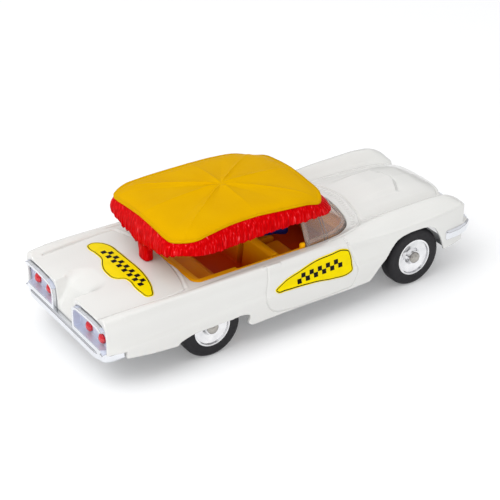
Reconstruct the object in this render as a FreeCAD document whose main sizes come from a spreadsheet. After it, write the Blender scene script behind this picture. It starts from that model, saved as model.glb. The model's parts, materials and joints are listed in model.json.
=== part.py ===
import FreeCAD, Part
import math
import os
import Sketcher

# Toy taxi: an open die-cast car with a fringed canopy.
# Millimetres. The origin is on the floor under the middle of the car.
# +X is forward, +Y is the car's left, +Z is up.

doc = FreeCAD.newDocument("toy_taxi")
sheet = doc.addObject("Spreadsheet::Sheet", "Sizes")
Vector = FreeCAD.Vector

SIZES = [
    # whole car
    ("overall_length", 103.8), ("body_width", 40.8), ("deck_height", 18.2),
    ("wheelbase", "=overall_length*0.549133"), ("rear_overhang", "=overall_length*0.268786"),
    ("overrun", 3.0), ("seat_gap", 0.15),
    # casting
    ("casting_wall", 1.1), ("tail_wall", 3.2), ("nose_wall", 3.6), ("groove_width", 0.3),
    ("groove_depth", 0.18), ("post_radius", 2.2), ("well_radius", 8.5), ("well_side_gap", 0.4),
    ("well_depth", 6.0), ("rivet_pocket_radius", 2.9), ("rivet_pocket_gap", 0.25),
    ("cabin_half_width", "=body_width*0.377451"), ("cabin_rear", 26.5), ("cabin_corner", 2.2),
    ("valley_half_width", "=body_width*0.083333"), ("valley_shoulder", 0.7), ("valley_spread", 4.4),
    ("front_post_reach", 9.4), ("rear_post_reach", 16.0),
    ("scoop_half_width", "=body_width*0.132353"),
    # wheels and axles
    ("tyre_radius", 7.44), ("tyre_width", 4.04), ("tyre_shoulder", 1.0), ("rim_radius", 4.6),
    ("rim_flange", 0.45), ("rim_groove", 0.4), ("rim_lip", 0.35), ("dish_depth", 0.8),
    ("boss_radius", 1.8), ("axle_radius", 0.8), ("running_gap", 0.05),
    ("wheel_face", "=body_width*0.452206"), ("boss_stand", 0.1), ("rivet_head_radius", 1.4),
    ("rivet_head_height", 0.7), ("head_gap", 0.05), ("travel", 1.0),
    # baseplate and springs
    ("base_thickness", 0.8), ("base_bottom", 5.5), ("base_half_width", "=body_width*0.426471"),
    ("base_end_half_width", "=body_width*0.367647"), ("base_waist_half_width", "=lug_face - 0.4"),
    ("base_end_gap", 5.4), ("panel_gap", 3.0), ("lug_thickness", 0.8), ("lug_length", 5.0),
    ("lug_face", "=wheel_face - tyre_width - 1.01"), ("lug_bridge", 0.8), ("spring_thickness", 0.3),
    ("spring_width", 7.0), ("spring_reach", 9.0), ("spring_foot", 3.6), ("small_rivet_radius", 0.8),
    ("small_rivet_head", 1.3), ("small_rivet_height", 0.4), ("base_rivet_radius", 1.2),
    ("base_rivet_head", 2.2), ("base_rivet_height", 0.4), ("base_rivet_length", 4.5),
    # interior
    ("tub_wall", 0.7), ("tub_bottom", 7.8), ("tub_floor", 0.8), ("tub_rim_drop", 0.3),
    ("tub_rim_height", 1.2), ("rear_floor_rise", 2.6), ("rear_half_width", "=body_width*0.333333"),
    ("seat_inner", 1.1), ("seat_outer", "=body_width*0.303922"),
    ("tub_foot_radius", 1.2), ("dash_top", 17.2), ("dash_bottom", 13.4), ("dash_depth", 4.5),
    ("driver_side", "=body_width*0.122549"), ("steering_radius", 2.9), ("steering_tube", 0.36),
    ("column_radius", 0.45), ("column_length", 5.0),
    # windscreen
    ("screen_thickness", 0.7), ("screen_apex", 20.3), ("screen_back", 3.6), ("screen_top", 25.4),
    ("screen_top_apex", 9.4), ("screen_top_half_width", "=body_width*0.294118"), ("screen_foot", 0.7),
    ("screen_foot_reach", 1.0), ("screen_sink", 2.0),
    # canopy
    ("canopy_rear_overlap", 4.6), ("canopy_setback", 10.8), ("canopy_side_overlap", 0.5),
    ("canopy_crown", 31.9), ("canopy_drop", 4.1), ("canopy_sheet", 0.6), ("canopy_joint", 0.1),
    ("fringe_fall", 8.8), ("fringe_sheet", 0.8), ("leg_top_half_width", 2.2),
    ("leg_foot_half_width", 1.5), ("leg_thickness", 2.0), ("peg_half_width", 1.0),
    ("peg_thickness", 1.2), ("peg_length", 0.9), ("clip_half_width", 2.5), ("clip_height", 1.0),
    # bumpers and lamps
    ("bar_bottom", 7.5), ("bar_height", 2.2), ("bar_round", 0.45), ("bar_wall", 1.5),
    ("bar_return", 5.7), ("tongue_half_width", "=body_width*0.245098"), ("tongue_thickness", 0.8),
    ("pod_outer", "=body_width*0.450980"), ("pod_top", 16.35), ("pod_rim", 0.8), ("pod_stand", 0.9),
    ("pod_depth", 1.5), ("pod_floor", 0.5), ("lamp_radius", 1.15), ("lamp_height", 12.1),
    ("lamp_inner", "=body_width*0.230392"), ("lamp_outer", "=body_width*0.372549"), ("lamp_length", 0.9),
    ("front_bar_bottom", 9.9), ("front_bar_height", 2.5), ("nose_cap", 1.8),
    ("head_lamp_radius", 1.2), ("head_lamp_height", 13.85),
    ("head_lamp_inner", "=body_width*0.279412"), ("head_lamp_outer", "=body_width*0.352941"),
    ("head_lamp_depth", 0.9), ("grille_half_width", "=body_width*0.196078"),
    ("grille_height", 2.0), ("grille_depth", 0.8), ("grille_bar", 0.35),
    # labels
    ("label_thickness", 0.12),
]

for row, (alias, value) in enumerate(SIZES, start=1):
    sheet.set(f"A{row}", alias)
    sheet.set(f"B{row}", str(value))
    sheet.setAlias(f"B{row}", alias)
doc.recompute()


def size(name):
    return float(sheet.get(name))


def amount(text):
    """Value of a sum of named sizes, such as 'tyre_radius - rim_lip*2'."""
    total, sign = 0.0, 1.0
    for word in text.split():
        if word in ("+", "-"):
            sign = 1.0 if word == "+" else -1.0
            continue
        name, _, factor = word.partition("*")
        total += sign * size(name) * (float(factor) if factor else 1.0)
        sign = 1.0
    return total


def formula(text):
    """The same sum as an expression on the sheet."""
    return " ".join(word if word in ("+", "-") else "Sizes." + word for word in text.split())


half_length = size("overall_length") / 2
half_width = size("body_width") / 2
deck = size("deck_height")
rear_axle_x = size("rear_overhang") - half_length
front_axle_x = rear_axle_x + size("wheelbase")
axle_z = size("tyre_radius")
overrun = size("overrun")
wall = size("casting_wall")
gap = size("seat_gap")
REAR_AXLE = "rear_overhang - overall_length*0.5"
FRONT_AXLE = REAR_AXLE + " + wheelbase"

finished = []


def finish(piece, name):
    piece.Label = name
    finished.append(piece)
    return piece


def shaped(name, shape):
    """A sub-part whose shape is worked out in this script from the sheet."""
    piece = doc.addObject("Part::Feature", name)
    piece.Shape = shape
    piece.Placement = FreeCAD.Placement()
    return finish(piece, name)


# Solids bound to the sheet

def place(piece, position):
    for axis, text in zip("xyz", position):
        if text:
            piece.setExpression(f"Placement.Base.{axis}", formula(text))


def bound_box(name, lengths, position):
    box = doc.addObject("Part::Box", name)
    for side, text in zip(("Length", "Width", "Height"), lengths):
        box.setExpression(side, formula(text))
    place(box, position)
    return box


def bound_cylinder(name, radius, height, position, rotation=None):
    cylinder = doc.addObject("Part::Cylinder", name)
    if rotation:
        cylinder.Placement.Rotation = rotation
    cylinder.setExpression("Radius", formula(radius))
    cylinder.setExpression("Height", formula(height))
    place(cylinder, position)
    return cylinder


def joined(name, pieces):
    fuse = doc.addObject("Part::MultiFuse", name)
    fuse.Shapes = pieces
    return fuse


def without(name, base, tool):
    cut = doc.addObject("Part::Cut", name)
    cut.Base = base
    cut.Tool = tool
    return cut


def origin_plane(body, role):
    for feature in body.Origin.OriginFeatures:
        if feature.Role == role:
            return feature
    raise ValueError(role)


def turned(name, profile):
    """A turned body: a closed profile of (along, radius) sums revolved about the Y axis."""
    body = doc.addObject("PartDesign::Body", name)
    sketch = body.newObject("Sketcher::SketchObject", name + "_profile")
    sketch.AttachmentSupport = [(origin_plane(body, "XY_Plane"), "")]
    sketch.MapMode = "FlatFace"
    spots = [Vector(amount(radius), amount(along), 0) for along, radius in profile]
    count = len(spots)
    for index in range(count):
        sketch.addGeometry(Part.LineSegment(spots[index], spots[(index + 1) % count]), False)
    for index in range(count):
        sketch.addConstraint(Sketcher.Constraint("Coincident", index, 2, (index + 1) % count, 1))
    for index, (along, radius) in enumerate(profile):
        for kind, text in (("DistanceX", radius), ("DistanceY", along)):
            number = sketch.addConstraint(Sketcher.Constraint(kind, -1, 1, index, 1, amount(text)))
            sketch.setExpression(f"Constraints[{number}]", formula(text))
    turn = body.newObject("PartDesign::Revolution", name + "_turn")
    turn.Profile = sketch
    turn.ReferenceAxis = (origin_plane(body, "Y_Axis"), [""])
    turn.Angle = 360.0
    body.Tip = turn
    sketch.Visibility = False
    return body


# Wires and solids from points

def polygon(points):
    return Part.makePolygon(list(points) + [points[0]])


def side_slab(outline, near, far):
    """An outline of (x, z) pushed from one Y to another."""
    face = Part.Face(polygon([Vector(x, near, z) for x, z in outline]))
    return face.extrude(Vector(0, far - near, 0))


def plan_slab(outline, low, high):
    """An outline of (x, y) pushed from one Z to another."""
    face = Part.Face(polygon([Vector(x, y, low) for x, y in outline]))
    return face.extrude(Vector(0, 0, high - low))


def end_slab(outline, back, front):
    """An outline of (y, z) pushed from one X to another."""
    face = Part.Face(polygon([Vector(back, y, z) for y, z in outline]))
    return face.extrude(Vector(front - back, 0, 0))


def mirrored(shape):
    return shape.mirror(Vector(0, 0, 0), Vector(0, 1, 0))


def block(low, high):
    return Part.makeBox(high[0] - low[0], high[1] - low[1], high[2] - low[2], Vector(*low))


def rod(start, end, radius):
    return Part.makeCylinder(radius, (end - start).Length, start, end - start)


def ribbon(path, thickness):
    """A closed outline round an open path: the path, and the path moved to its right."""
    moved = []
    for index, (x, z) in enumerate(path):
        normals = []
        for start, end in zip(path[max(index - 1, 0):index + 1], path[max(index, 1):index + 2]):
            run, rise = end[0] - start[0], end[1] - start[1]
            length = math.hypot(run, rise)
            normals.append((rise / length, -run / length))
        nx = sum(normal[0] for normal in normals) / len(normals)
        nz = sum(normal[1] for normal in normals) / len(normals)
        scale = thickness / (nx * nx + nz * nz)
        moved.append((x + nx * scale, z + nz * scale))
    return list(path) + moved[::-1]


def on_side(shares):
    """Shares of the half length and the deck height as (x, z)."""
    return [(x * half_length, z * deck) for x, z in shares]


def on_plan(shares):
    """Shares of the half length and the half width as (x, y)."""
    return [(x * half_length, y * half_width) for x, y in shares]


def both_ways(half):
    """A half outline of (x, y) closed by its mirror image."""
    return half + [(x, -y) for x, y in reversed(half) if y]


# Body lines. Each list runs from the tail to the nose and has one share per station.
# X shares follow the half length, Y shares the half width, Z shares the deck height.

station_shares = [-0.975, -0.90, -0.74, -0.55, -0.30, -0.03, 0.20, 0.38, 0.58, 0.74, 0.84, 0.92, 0.965]
centre_z_shares = [0.93, 0.965, 0.99, 1.0, 1.0, 1.0, 1.01, 1.03, 1.06, 1.06, 1.04, 0.97, 0.89]
inner_z_shares = [0.93, 0.965, 0.99, 1.0, 1.0, 1.0, 1.01, 1.025, 1.05, 1.05, 1.03, 0.96, 0.885]
outer_z_shares = [0.93, 0.96, 0.99, 1.0, 1.0, 1.0, 1.005, 1.015, 1.025, 1.015, 0.985, 0.925, 0.865]
gutter_y_shares = [0.72, 0.74, 0.79, 0.83, 0.79, 0.76, 0.735, 0.60, 0.55, 0.54, 0.52, 0.48, 0.45]
gutter_z_shares = [0.93, 0.945, 0.97, 0.99, 0.995, 0.995, 0.99, 0.985, 0.97, 0.96, 0.945, 0.905, 0.855]
crest_y_shares = [0.84, 0.85, 0.855, 0.86, 0.86, 0.85, 0.81, 0.76, 0.745, 0.745, 0.74, 0.735, 0.725]
crest_z_shares = [0.995, 1.01, 1.015, 1.01, 1.01, 1.005, 1.01, 1.055, 1.095, 1.10, 1.08, 0.985, 0.85]
crease_y_shares = [0.895, 0.90, 0.905, 0.905, 0.905, 0.905, 0.91, 0.915, 0.92, 0.92, 0.91, 0.885, 0.83]
crease_z_shares = [0.965, 0.99, 0.995, 0.99, 0.99, 0.98, 0.945, 0.91, 0.91, 0.94, 0.955, 0.95, 0.835]
mid_y_shares = [0.925, 0.945, 0.96, 0.96, 0.96, 0.96, 0.955, 0.95, 0.95, 0.945, 0.935, 0.905, 0.845]
mid_z_shares = [0.80, 0.82, 0.825, 0.825, 0.825, 0.825, 0.815, 0.80, 0.80, 0.81, 0.81, 0.80, 0.76]
waist_y_shares = [0.925, 0.945, 0.965, 0.97, 0.97, 0.97, 0.97, 0.97, 0.97, 0.96, 0.945, 0.91, 0.845]
waist_z_shares = [0.65, 0.655, 0.66, 0.675, 0.70, 0.705, 0.705, 0.69, 0.69, 0.69, 0.685, 0.68, 0.67]
bulge_y_shares = [0.93, 0.965, 0.99, 1.0, 1.0, 1.0, 0.995, 0.99, 0.985, 0.97, 0.95, 0.91, 0.845]
bulge_z_shares = [0.57, 0.57, 0.575, 0.60, 0.625, 0.625, 0.625, 0.615, 0.605, 0.605, 0.605, 0.605, 0.605]
sill_y_shares = [0.905, 0.95, 0.98, 0.985, 0.985, 0.985, 0.985, 0.98, 0.975, 0.96, 0.94, 0.90, 0.835]
sill_z_shares = [0.44, 0.43, 0.392, 0.37, 0.312, 0.328, 0.327, 0.338, 0.35, 0.385, 0.42, 0.44, 0.445]
inner_y_share = 0.22
outer_y_share = 0.42

DECK_LINES = [(inner_y_share, inner_z_shares), (outer_y_share, outer_z_shares)]
SIDE_LINES = [
    (gutter_y_shares, gutter_z_shares), (crest_y_shares, crest_z_shares),
    (crease_y_shares, crease_z_shares), (mid_y_shares, mid_z_shares),
    (waist_y_shares, waist_z_shares), (bulge_y_shares, bulge_z_shares),
    (sill_y_shares, sill_z_shares),
]


def half_section(station, growth, drop):
    """Points (y, z) of the left half at a station, the deck raised and the side pushed out."""
    points = [(0.0, centre_z_shares[station] * deck + growth)]
    for y_share, z_shares in DECK_LINES:
        points.append((y_share * half_width, z_shares[station] * deck + growth))
    for line, (y_shares, z_shares) in enumerate(SIDE_LINES):
        rise = growth if line < 3 else 0.0
        points.append((y_shares[station] * half_width + growth, z_shares[station] * deck + rise))
    sill_y, sill_z = points[-1]
    points[-1] = (sill_y, sill_z - drop)
    return points


def body_form(growth, drop):
    """The solid form of the body, pushed out by growth and let down by drop at the sill."""
    wires = []
    for station, share in enumerate(station_shares):
        half = half_section(station, growth, drop)
        left = [Vector(share * half_length, y, z) for y, z in half]
        right = [Vector(share * half_length, -y, z) for y, z in half[:0:-1]]
        wires.append(polygon(right + left))
    return Part.makeLoft(wires, True, False)


tail_face = station_shares[0] * half_length
nose_face = station_shares[-1] * half_length

# The valley between the tail pods: (x, z) along its floor, and how far its sides rise
valley_floor_shares = [(-0.80, 0.985), (-0.857, 0.935), (-0.906, 0.863), (-0.938, 0.736), (-0.99, 0.52)]
valley_top_share = 1.15
valley_side_share = 0.7


def valley(growth):
    top = valley_top_share * deck
    floor = [(x + growth, z - growth) for x, z in on_side(valley_floor_shares)]
    end_x = -half_length - overrun
    profile = [(floor[0][0], top)] + floor + [(end_x, floor[-1][1]), (end_x, top)]
    wires = []
    inner = size("valley_half_width") + growth
    shoulder = inner + size("valley_shoulder")
    for y, rise in ((inner, 0.0), (shoulder, valley_side_share), (shoulder + size("valley_spread"), 1.0)):
        lifted = [(x, z + rise * max(deck - z, 0)) for x, z in profile]
        wires.append(polygon([Vector(x, y, z) for x, z in lifted]))
    side = Part.makeLoft(wires, True, True)
    return side_slab(profile, -inner, inner).fuse([side, mirrored(side)])


# Arches: (x, z) shares of the tyre's radius from the axle's centre
front_arch_shares = [(-1.99, -0.25), (-1.88, -0.13), (-1.50, 0.28), (-1.10, 0.69), (-0.81, 0.92),
                     (-0.41, 1.02), (0.0, 1.045), (0.32, 1.03), (0.54, 0.985), (0.72, 0.88),
                     (0.86, 0.66), (1.05, 0.22), (1.13, 0.0), (1.20, -0.25)]
rear_arch_shares = [(-1.36, -0.35), (-1.24, 0.0), (-1.0, 0.11), (-0.75, 0.17), (-0.27, 0.196),
                    (0.47, 0.216), (1.10, 0.205), (1.20, 0.15), (1.20, 0.03), (1.156, -0.10), (1.22, -0.19),
                    (1.32, -0.237), (1.5, -0.30)]


def arch(axle_x, shares):
    """A wheel opening through the left side."""
    reach = size("tyre_radius")
    outline = [(axle_x + x * reach, axle_z + z * reach) for x, z in shares]
    low = axle_z - reach
    outline = [(outline[0][0], low)] + outline + [(outline[-1][0], low)]
    return side_slab(outline, size("lug_face") + size("lug_thickness"), half_width + overrun)


def wheel_well(axle_x):
    """Room for one wheel inside the left side, over the suspension travel."""
    middle = axle_z + size("travel") / 2
    outer = size("wheel_face") + size("well_side_gap")
    inner = outer - size("well_depth")
    radius = size("well_radius")
    shoulder = size("tyre_shoulder")
    profile = [Vector(axle_x, inner, middle), Vector(axle_x, inner, middle + radius),
               Vector(axle_x, outer - shoulder, middle + radius),
               Vector(axle_x, outer, middle + radius - shoulder), Vector(axle_x, outer, middle)]
    drum = Part.Face(polygon(profile)).revolve(Vector(axle_x, 0, middle), Vector(0, 1, 0), 360)
    reach = size("rivet_pocket_radius")
    end = size("wheel_face") + size("rivet_head_height") + size("rivet_pocket_gap") + size("boss_stand")
    pocket = rod(Vector(axle_x, inner, middle), Vector(axle_x, end, middle), reach)
    slot = block((axle_x - reach, inner, 0), (axle_x + reach, end, middle))
    return drum.fuse([pocket, slot])


# Cabin outline: (x, y) shares from the windscreen's rear edge forward to its apex
bow_shares = [(0.23, 0.985), (0.42, 0.96), (0.59, 0.925), (0.72, 0.855), (0.815, 0.77),
              (0.883, 0.65), (0.926, 0.505), (0.958, 0.35), (0.985, 0.19)]
round_share = 1 - math.sqrt(0.5)
screen_back = size("screen_back")


def bow_edge(half, back, apex, low):
    """The curved front edge of the cabin or the windscreen."""
    side = [Vector(back + (apex - back) * x, half * y, low) for x, y in bow_shares]
    other = [Vector(point.x, -point.y, low) for point in reversed(side)]
    curve = Part.BSplineCurve()
    curve.interpolate(Points=[Vector(back, half, low)] + side + [Vector(apex, 0, low)] + other
                      + [Vector(back, -half, low)])
    return curve.toShape()


def bow_wire(half, back, apex, low):
    """The curved edge closed by a straight line across the car."""
    closing = Part.makeLine(Vector(back, -half, low), Vector(back, half, low))
    return Part.Wire([bow_edge(half, back, apex, low), closing])


def cabin(growth, low, high):
    """A prism of the cabin's outline."""
    half = size("cabin_half_width") + growth
    rear = -size("cabin_rear") - growth
    apex = size("screen_apex") + gap + growth
    corner = size("cabin_corner")
    slope = corner * round_share
    edges = [
        bow_edge(half, screen_back, apex, low),
        Part.makeLine(Vector(screen_back, -half, low), Vector(rear + corner, -half, low)),
        Part.Arc(Vector(rear + corner, -half, low), Vector(rear + slope, slope - half, low),
                 Vector(rear, corner - half, low)).toShape(),
        Part.makeLine(Vector(rear, corner - half, low), Vector(rear, half - corner, low)),
        Part.Arc(Vector(rear, half - corner, low), Vector(rear + slope, half - slope, low),
                 Vector(rear + corner, half, low)).toShape(),
        Part.makeLine(Vector(rear + corner, half, low), Vector(screen_back, half, low)),
    ]
    return Part.Face(Part.Wire(edges)).extrude(Vector(0, 0, high - low))


# Bumper bars: closed rings in plan, rounded at the top and bottom

rear_bar_shares = [(-0.885, 0.915), (-0.955, 0.905), (-0.985, 0.86), (-1.0, 0.74)]
front_bar_shares = [(0.796, 0.955), (0.815, 0.985), (0.877, 0.975), (0.936, 0.925), (0.975, 0.85),
                    (0.993, 0.735), (1.0, 0.54)]


def bar(shares, bottom, height):
    """A rounded bar round one end of the car, solid across to the other side."""
    inset = size("bar_round")
    wires = []
    for level, pull in ((0.0, inset), (inset, 0.0), (height - inset, 0.0), (height, inset)):
        ends = on_plan(shares)
        half = [(ends[0][0], ends[0][1] - pull)]
        for x, y in ends[1:]:
            half.append((x - math.copysign(pull, x), y - pull))
        wires.append(polygon([Vector(x, y, bottom + level) for x, y in both_ways(half)]))
    return Part.makeLoft(wires, True, True)


# Tail pods: (y, z) shares of the pod's outer reach and top, round its outline
pod_shares = [(0.245, 0.56), (0.24, 0.765), (0.256, 0.917), (0.31, 0.963), (0.41, 0.985),
              (0.68, 1.0), (0.90, 0.99), (0.98, 0.94), (1.0, 0.795), (0.985, 0.56)]


def pod_outline(inset):
    """The pod's outline (y, z) drawn in all round."""
    outline = [(y * size("pod_outer"), z * size("pod_top")) for y, z in pod_shares]
    middle_y = sum(y for y, z in outline) / len(outline)
    middle_z = sum(z for y, z in outline) / len(outline)
    half_y = max(y for y, z in outline) - middle_y
    half_z = max(z for y, z in outline) - middle_z
    return [(middle_y + (y - middle_y) * (1 - inset / half_y),
             middle_z + (z - middle_z) * (1 - inset / half_z)) for y, z in outline]


# Body casting

outer_form = body_form(0.0, 0.0)
label_skin = body_form(size("label_thickness"), 0.0).cut(outer_form)
groove_skin = outer_form.cut(body_form(-size("groove_depth"), 0.0))

door_line_shares = [(-0.179, 1.04), (-0.193, 0.80), (-0.202, 0.577), (-0.187, 0.46), (-0.146, 0.40),
                    (0.222, 0.39), (0.266, 0.434), (0.283, 0.527), (0.270, 0.77), (0.249, 0.945),
                    (0.245, 1.04)]
boot_line_shares = [(-0.64, 0.79), (-0.572, 0.78), (-0.557, 0.75), (-0.557, -0.75), (-0.572, -0.78),
                    (-0.64, -0.79)]
bonnet_line_shares = [(0.93, 0.485), (0.74, 0.545), (0.48, 0.60)]
scoop_top_shares = [(0.45, 0.95), (0.45, 1.02), (0.58, 1.075), (0.70, 1.10), (0.765, 1.105),
                    (0.775, 1.08), (0.775, 0.95)]
scoop_plan_shares = [(0.45, 0.20), (0.55, 0.255), (0.727, 0.265), (0.747, 0.17), (0.762, 0.0)]
nose_plan_shares = [(0.9615, 0.0), (0.9576, 0.147), (0.944, 0.294), (0.929, 0.392), (0.917, 0.456),
                    (0.931, 0.52), (0.953, 0.617), (0.960, 0.70), (0.943, 0.784), (0.917, 0.843)]
nose_trim_share = 0.73
valance_share = 0.915


def casting():
    low = tail_face + size("tail_wall")
    high = nose_face - size("nose_wall")
    hollow = body_form(-wall, overrun).common(block((low, -half_width, -overrun),
                                                    (high, half_width, deck + overrun)))
    body = outer_form.cut(valley(0.0)).cut(hollow.cut(valley(wall)))
    wells = [arch(front_axle_x, front_arch_shares), arch(rear_axle_x, rear_arch_shares),
             wheel_well(front_axle_x), wheel_well(rear_axle_x)]
    for well in wells:
        body = body.cut([well, mirrored(well)])
    body = body.cut(cabin(0.0, deck - overrun, deck + overrun))
    # seat for the rear bumper bar and sockets for the pods
    bar_top = size("bar_bottom") + size("bar_height")
    body = body.cut(block((-half_length - overrun, -half_width, 0),
                          (size("bar_return") - half_length + gap, half_width, bar_top)))
    socket = end_slab(pod_outline(-gap), tail_face - overrun, tail_face + size("pod_depth") + gap)
    body = body.cut([socket, mirrored(socket)])
    # nose curved in plan above the bumper
    nose = on_plan(nose_plan_shares)
    trim = nose + [(half_length + overrun, nose[-1][1]), (half_length + overrun, 0)]
    trim = plan_slab(trim, nose_trim_share * deck, deck + overrun)
    body = body.cut([trim, mirrored(trim)])
    # the valance ends behind the front bumper's tip
    body = body.cut(block((valance_share * half_length, -half_width, 0),
                          (half_length, half_width, size("front_bar_bottom"))))
    # raised scoop on the bonnet
    scoop = side_slab(on_side(scoop_top_shares), -size("scoop_half_width"), size("scoop_half_width"))
    scoop = scoop.common(plan_slab(both_ways(on_plan(scoop_plan_shares)), 0, deck + overrun))
    body = body.fuse(scoop)
    # posts for the rivets that hold the baseplate
    bottom = size("base_bottom") + size("base_thickness")
    for x in post_places():
        post = rod(Vector(x, 0, bottom), Vector(x, 0, deck), size("post_radius"))
        hole = rod(Vector(x, 0, 0), Vector(x, 0, bottom + size("base_rivet_length") + gap),
                   size("base_rivet_radius") + size("running_gap"))
        body = body.fuse(post.common(outer_form)).cut(hole)
    # socket for the canopy's leg
    back, front = peg_span()
    half = size("peg_half_width") + gap
    body = body.cut(block((back - gap, -half, deck - wall - overrun), (front + gap, half, deck + gap)))
    # recesses for the lamps and the grille
    for lamp in lamp_places():
        recess = rod(lamp - Vector(size("head_lamp_depth"), 0, 0), lamp + Vector(overrun, 0, 0),
                     size("head_lamp_radius") + size("running_gap"))
        body = body.cut([recess, mirrored(recess)])
    body = body.cut(grille_block(gap))
    # door, boot and bonnet lines
    door = side_slab(ribbon(on_side(door_line_shares), size("groove_width")), half_width / 2,
                     half_width + overrun)
    boot = plan_slab(ribbon(on_plan(boot_line_shares), size("groove_width")), deck / 2, deck + overrun)
    bonnet = plan_slab(ribbon(on_plan(bonnet_line_shares), size("groove_width")), deck / 2, deck * 2)
    for line in (door, mirrored(door), boot, bonnet, mirrored(bonnet)):
        body = body.cut(line.common(groove_skin))
    return body


def post_places():
    return front_axle_x + size("front_post_reach"), rear_axle_x - size("rear_post_reach")


def peg_span():
    """X of the back and front of the peg under the canopy's rear leg."""
    back = -size("cabin_rear") - size("canopy_rear_overlap") + (size("leg_thickness")
                                                                - size("peg_thickness")) / 2
    return back, back + size("peg_thickness")


def lamp_places():
    """Left head lamps: the middle of each lamp's seat on the nose."""
    return [Vector(nose_face, y, size("head_lamp_height"))
            for y in (size("head_lamp_inner"), size("head_lamp_outer"))]


def grille_block(growth):
    bottom = size("head_lamp_height") - size("grille_height") / 2
    half = size("grille_half_width")
    return block((nose_face - size("grille_depth") - growth, -half - growth, bottom - growth),
                 (nose_face + growth * 2 + size("nose_cap"), half + growth,
                  bottom + size("grille_height") + growth))


shaped("body_casting", casting())


# Wheels and axles

TYRE_INNER = "wheel_face - tyre_width"
ROUND = [("*1.0", "*0.0"), ("*0.62", "*0.08"), ("*0.29", "*0.29"), ("*0.08", "*0.62"), ("*0.0", "*1.0")]

tyre_profile = [("wheel_face", "rim_radius + running_gap")]
tyre_profile += [("wheel_face - tyre_shoulder" + back, "tyre_radius - tyre_shoulder" + down)
                 for down, back in ROUND]
tyre_profile += [(TYRE_INNER + " + tyre_shoulder" + back, "tyre_radius - tyre_shoulder" + down)
                 for down, back in reversed(ROUND)]
tyre_profile += [
    (TYRE_INNER, "rim_radius + running_gap"),
    (TYRE_INNER + " + rim_flange + running_gap", "rim_radius + running_gap"),
    (TYRE_INNER + " + rim_flange + running_gap", "rim_radius - rim_groove + running_gap"),
    ("wheel_face - rim_flange - running_gap", "rim_radius - rim_groove + running_gap"),
    ("wheel_face - rim_flange - running_gap", "rim_radius + running_gap"),
]

BORE = "axle_radius + running_gap"
hub_profile = [
    (TYRE_INNER, BORE), (TYRE_INNER, "rim_radius"), (TYRE_INNER + " + rim_flange", "rim_radius"),
    (TYRE_INNER + " + rim_flange", "rim_radius - rim_groove"),
    ("wheel_face - rim_flange", "rim_radius - rim_groove"), ("wheel_face - rim_flange", "rim_radius"),
    ("wheel_face", "rim_radius"), ("wheel_face", "rim_radius - rim_lip"),
    ("wheel_face - dish_depth*0.55", "rim_radius - rim_lip*1.5"),
    ("wheel_face - dish_depth*0.9", "boss_radius + rim_lip*2.4"),
    ("wheel_face - dish_depth", "boss_radius + rim_lip"),
    ("wheel_face - dish_depth*0.35", "boss_radius"), ("wheel_face + boss_stand", "boss_radius*0.9"),
    ("wheel_face + boss_stand", BORE),
]

HEAD = "wheel_face + boss_stand + head_gap"
half_axle = [
    (HEAD, "axle_radius"), (HEAD, "rivet_head_radius"),
    (HEAD + " + rivet_head_height*0.35", "rivet_head_radius*0.97"),
    (HEAD + " + rivet_head_height*0.75", "rivet_head_radius*0.75"),
    (HEAD + " + rivet_head_height", "rivet_head_radius*0.35"),
    (HEAD + " + rivet_head_height", "axle_radius*0"),
]


def negated(text):
    """The same sum with every sign turned round."""
    words = text.split()
    signs = ["-"]
    names = [words[0]]
    for sign, name in zip(words[1::2], words[2::2]):
        signs.append("+" if sign == "-" else "-")
        names.append(name)
    first = names[0] + ("*-1" if "*" not in names[0] else "")
    return " ".join([first] + [word for pair in zip(signs[1:], names[1:]) for word in pair])


half_turn = FreeCAD.Rotation(Vector(0, 0, 1), 180)
for end, axle in (("front", FRONT_AXLE), ("rear", REAR_AXLE)):
    for side, turn in (("left", FreeCAD.Rotation()), ("right", half_turn)):
        for kind, profile in (("tyre", tyre_profile), ("wheel_hub", hub_profile)):
            wheel_part = turned(f"{kind}_{end}_{side}", profile)
            wheel_part.Placement.Rotation = turn
            place(wheel_part, (axle, "", "tyre_radius"))
            finish(wheel_part, f"{kind}_{end}_{side}")
    pin = turned(f"{end}_axle", half_axle + [(negated(along), radius)
                                             for along, radius in reversed(half_axle)])
    place(pin, (axle, "", "tyre_radius"))
    finish(pin, f"{end}_axle")


# Baseplate with lugs that guide the axles

def pierced(name, base, holes):
    return without(name, base, joined(name + "_holes", holes) if len(holes) > 1 else holes[0])


TAIL_END = "base_end_gap - overall_length*0.5"
WAIST_LENGTH = "overall_length - base_end_gap*2"
plate_parts = [bound_box("plate_waist", (WAIST_LENGTH, "base_waist_half_width*2", "base_thickness"),
                         (TAIL_END, "base_waist_half_width*-1", "base_bottom"))]
PANELS = (
    ("tail", TAIL_END, REAR_AXLE + " - well_radius - base_end_gap + overall_length*0.5"),
    ("middle", REAR_AXLE + " + well_radius + panel_gap", "wheelbase - well_radius*2 - panel_gap*2"),
    ("nose", FRONT_AXLE + " + well_radius + panel_gap",
     "overall_length - base_end_gap - well_radius - panel_gap - wheelbase - rear_overhang"),
)
for panel, start, length in PANELS:
    half = "base_half_width" if panel == "middle" else "base_end_half_width"
    plate_parts.append(bound_box("plate_" + panel, (length, half + "*2", "base_thickness"),
                                 (start, half + "*-1", "base_bottom")))
LUG_HEIGHT = "tyre_radius + travel + axle_radius + running_gap + lug_bridge - base_bottom"
plate_holes = []
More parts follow.
